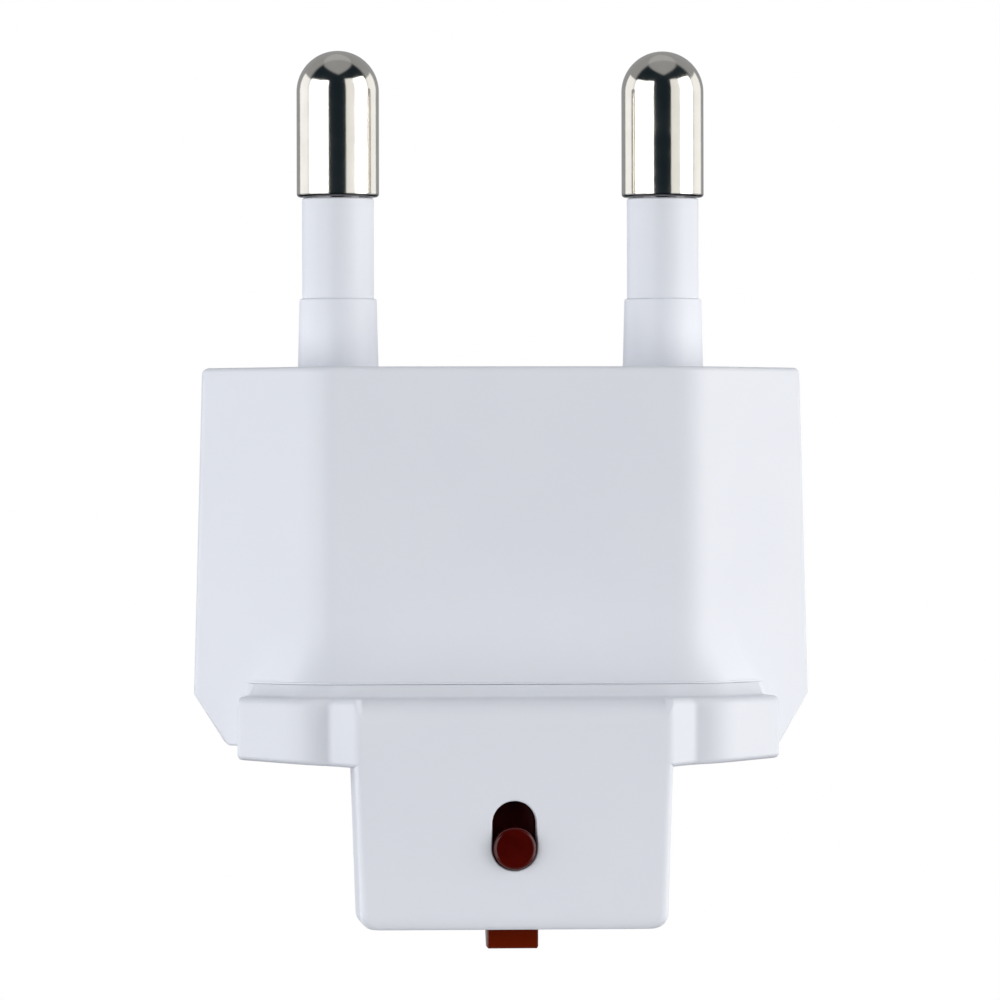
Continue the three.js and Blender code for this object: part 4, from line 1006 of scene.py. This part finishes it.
# hidden pieces that keep their CAD meshes
KEPT = {"pin_retainer_plate": "white_plastic", "contact_carrier": "carrier_plastic"}
PAIRED = dict(pin_washer="spring_steel", busbar="brass", contact_clip="contact_bronze", contact_rivet="brass")
for kind, slot in PAIRED.items():
    KEPT |= {f"{kind}_left": slot, f"{kind}_right": slot}
for node, slot in KEPT.items():
    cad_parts[node].material_slots[0].material = MATERIALS[slot]

# ---------------------------------------------------------------- floor, light and camera

FLOOR_Z = -52
FLOOR_RADIUS = 60
FLOOR_CLEAR = 10  # from here the floor fades into the white surroundings


def floor():
    rings, segments = 24, 96
    vertices = [(0, 0, FLOOR_Z)]
    faces = []
    for ring in range(1, rings + 1):
        radius = FLOOR_RADIUS * ring / rings
        for i in range(segments):
            angle = 2 * math.pi * i / segments
            vertices.append((radius * math.cos(angle), radius * math.sin(angle), FLOOR_Z))
    for i in range(segments):
        faces.append((0, 1 + i, 1 + (i + 1) % segments))
    for ring in range(rings - 1):
        for i in range(segments):
            a, b = 1 + ring * segments + i, 1 + ring * segments + (i + 1) % segments
            faces.append((a, a + segments, b + segments, b))
    return new_object("floor", vertices, faces)


def floor_material():
    shader = Shader("floor_paper", Roughness=0.85)
    shader.colours(shader.noise(3, 2), (0.68, 0.685, 0.69), (0.72, 0.725, 0.73))
    nodes, links = shader.tree.nodes, shader.tree.links
    distance = nodes.new("ShaderNodeVectorMath")
    distance.operation = "LENGTH"
    flat = nodes.new("ShaderNodeVectorMath")
    flat.operation = "MULTIPLY"
    flat.inputs[1].default_value = (1, 1, 0)
    links.new(shader.place, flat.inputs[0])
    links.new(flat.outputs["Vector"], distance.inputs[0])
    fade = nodes.new("ShaderNodeMapRange")
    fade.interpolation_type = "SMOOTHSTEP"
    fade.inputs["From Min"].default_value = FLOOR_CLEAR * MM
    fade.inputs["From Max"].default_value = FLOOR_RADIUS * MM
    links.new(distance.outputs["Value"], fade.inputs["Value"])
    clear = nodes.new("ShaderNodeBsdfTransparent")
    mix = nodes.new("ShaderNodeMixShader")
    links.new(fade.outputs["Result"], mix.inputs["Fac"])
    links.new(shader.shader.outputs["BSDF"], mix.inputs[1])
    links.new(clear.outputs["BSDF"], mix.inputs[2])
    links.new(mix.outputs["Shader"], nodes["Material Output"].inputs["Surface"])
    return shader.material


ground = floor()
ground.data.materials.append(floor_material())

PANEL_DISTANCE = 0.8  # in metres
PANEL_AIM = Vector((0, 0, -7 * MM))


def panel(name, start, end, elevation, height, power, colour):
    """An upright panel of soft light that faces the object and takes the azimuths from start to end."""
    light = bpy.data.lights.new(name, "AREA")
    light.shape = "RECTANGLE"
    light.size = 2 * PANEL_DISTANCE * math.tan(math.radians(end - start) / 2)
    light.size_y = height
    light.energy = power
    light.color = colour
    lamp = bpy.data.objects.new(name, light)
    bpy.context.scene.collection.objects.link(lamp)
    a, e = math.radians((start + end) / 2), math.radians(elevation)
    away = Vector((math.sin(a) * math.cos(e), -math.cos(a) * math.cos(e), math.sin(e)))
    lamp.location = PANEL_AIM + away * PANEL_DISTANCE
    lamp.rotation_mode = "QUATERNION"
    lamp.rotation_quaternion = away.to_track_quat("Z", "Y")
    lamp.visible_camera = False


COOL, WARM = (0.985, 0.99, 1), (1, 0.995, 0.98)

# azimuths in degrees from the front, positive to the right; elevation; height in metres; watts; colour
PANELS = {
    "left_inner": (-52, -30, 1, 0.88, 2.7, COOL),
    "left_outer": (-90, -52, 1, 0.88, 3.4, COOL),
    "left_side": (-134, -90, 0, 0.86, 1.6, COOL),
    "right_inner": (20, 48, 4, 0.98, 1.35, WARM),
    "right_outer": (48, 88, 4, 0.98, 6.0, WARM),
    "right_side": (88, 132, 0, 0.86, 1.5, WARM),
}
for name, layout in PANELS.items():
    panel(name, *layout)

# the studio's reach, as the sines of directions: where each change starts and where it is complete
BEHIND, ABOVE, BELOW = (0.0, 0.2), (0.7, 0.77), (-0.45, -0.1)
ABOVE_SIDE_RISE = 0.35  # the bright part above starts this much higher for each step to the side
DIM_SHARE = 0.74  # how bright the studio is above or behind, against where it is both
STUDIO_DARK, STUDIO_GREY = (0.012, 0.02, 0.026), (0.5, 0.507, 0.52)


def surroundings():
    """White to the camera; to everything else a dim studio, dark in front and grey above and behind."""
    world = bpy.data.worlds.new("studio")
    bpy.context.scene.world = world
    world.use_nodes = True
    nodes, links = world.node_tree.nodes, world.node_tree.links
    nodes.clear()
    direction = nodes.new("ShaderNodeTexCoord").outputs["Generated"]
    parts = nodes.new("ShaderNodeSeparateXYZ")
    links.new(direction, parts.inputs["Vector"])

    def spread(source, limits):
        node = nodes.new("ShaderNodeMapRange")
        node.interpolation_type = "SMOOTHSTEP"
        for socket, value in zip(("From Min", "From Max"), limits):
            node.inputs[socket].default_value = value
        links.new(source, node.inputs["Value"])
        return node.outputs["Result"]

    def combine_values(operation, first, second):
        node = nodes.new("ShaderNodeMath")
        node.operation = operation
        for socket, value in zip(node.inputs, (first, second)):
            if isinstance(value, float):
                socket.default_value = value
            else:
                links.new(value, socket)
        return node.outputs["Value"]

    sideways = combine_values("ABSOLUTE", parts.outputs["X"], 0.0)
    side_rise = combine_values("MULTIPLY", sideways, ABOVE_SIDE_RISE)
    height = combine_values("SUBTRACT", parts.outputs["Z"], side_rise)
    behind, above = spread(parts.outputs["Y"], BEHIND), spread(height, ABOVE)
    either = combine_values("MULTIPLY", combine_values("MAXIMUM", behind, above), DIM_SHARE)
    most = combine_values("MAXIMUM", either, combine_values("MULTIPLY", behind, above))
    lit = combine_values("MULTIPLY", most, spread(parts.outputs["Z"], BELOW))
    mix = nodes.new("ShaderNodeMix")
    mix.data_type = "RGBA"
    mix.inputs["A"].default_value = (*STUDIO_DARK, 1)
    mix.inputs["B"].default_value = (*STUDIO_GREY, 1)
    links.new(lit, mix.inputs["Factor"])
    dim, white = nodes.new("ShaderNodeBackground"), nodes.new("ShaderNodeBackground")
    links.new(mix.outputs["Result"], dim.inputs["Color"])
    white.inputs["Color"].default_value = (1, 1, 1, 1)
    path = nodes.new("ShaderNodeLightPath")
    choose = nodes.new("ShaderNodeMixShader")
    links.new(path.outputs["Is Camera Ray"], choose.inputs["Fac"])
    links.new(dim.outputs["Background"], choose.inputs[1])
    links.new(white.outputs["Background"], choose.inputs[2])
    output = nodes.new("ShaderNodeOutputWorld")
    links.new(choose.outputs["Shader"], output.inputs["Surface"])


surroundings()

CAMERA_DISTANCE = 450
CAMERA_YAW = math.radians(3.9)  # to the left of straight on
CAMERA_ROLL = math.radians(0.12)  # the right side of the picture a little higher
CAMERA_LENS, SENSOR_WIDTH = 277.5, 36
CLIP_START, CLIP_END = 0.01, 10  # in metres
AIM = Vector((-0.065, 0, -7.69))

camera_data = bpy.data.cameras.new("camera")
camera_data.lens = CAMERA_LENS
camera_data.sensor_width = SENSOR_WIDTH
camera_data.clip_start = CLIP_START
camera_data.clip_end = CLIP_END
camera = bpy.data.objects.new("camera", camera_data)
bpy.context.scene.collection.objects.link(camera)
away = Vector((-math.sin(CAMERA_YAW), -math.cos(CAMERA_YAW), 0))
camera.location = (AIM + away * CAMERA_DISTANCE) * MM
camera.rotation_mode = "XYZ"
camera.rotation_euler = (math.pi / 2, CAMERA_ROLL, -CAMERA_YAW)
bpy.context.scene.camera = camera

view = bpy.context.scene.view_settings
view.view_transform = "Standard"
view.look = "None"
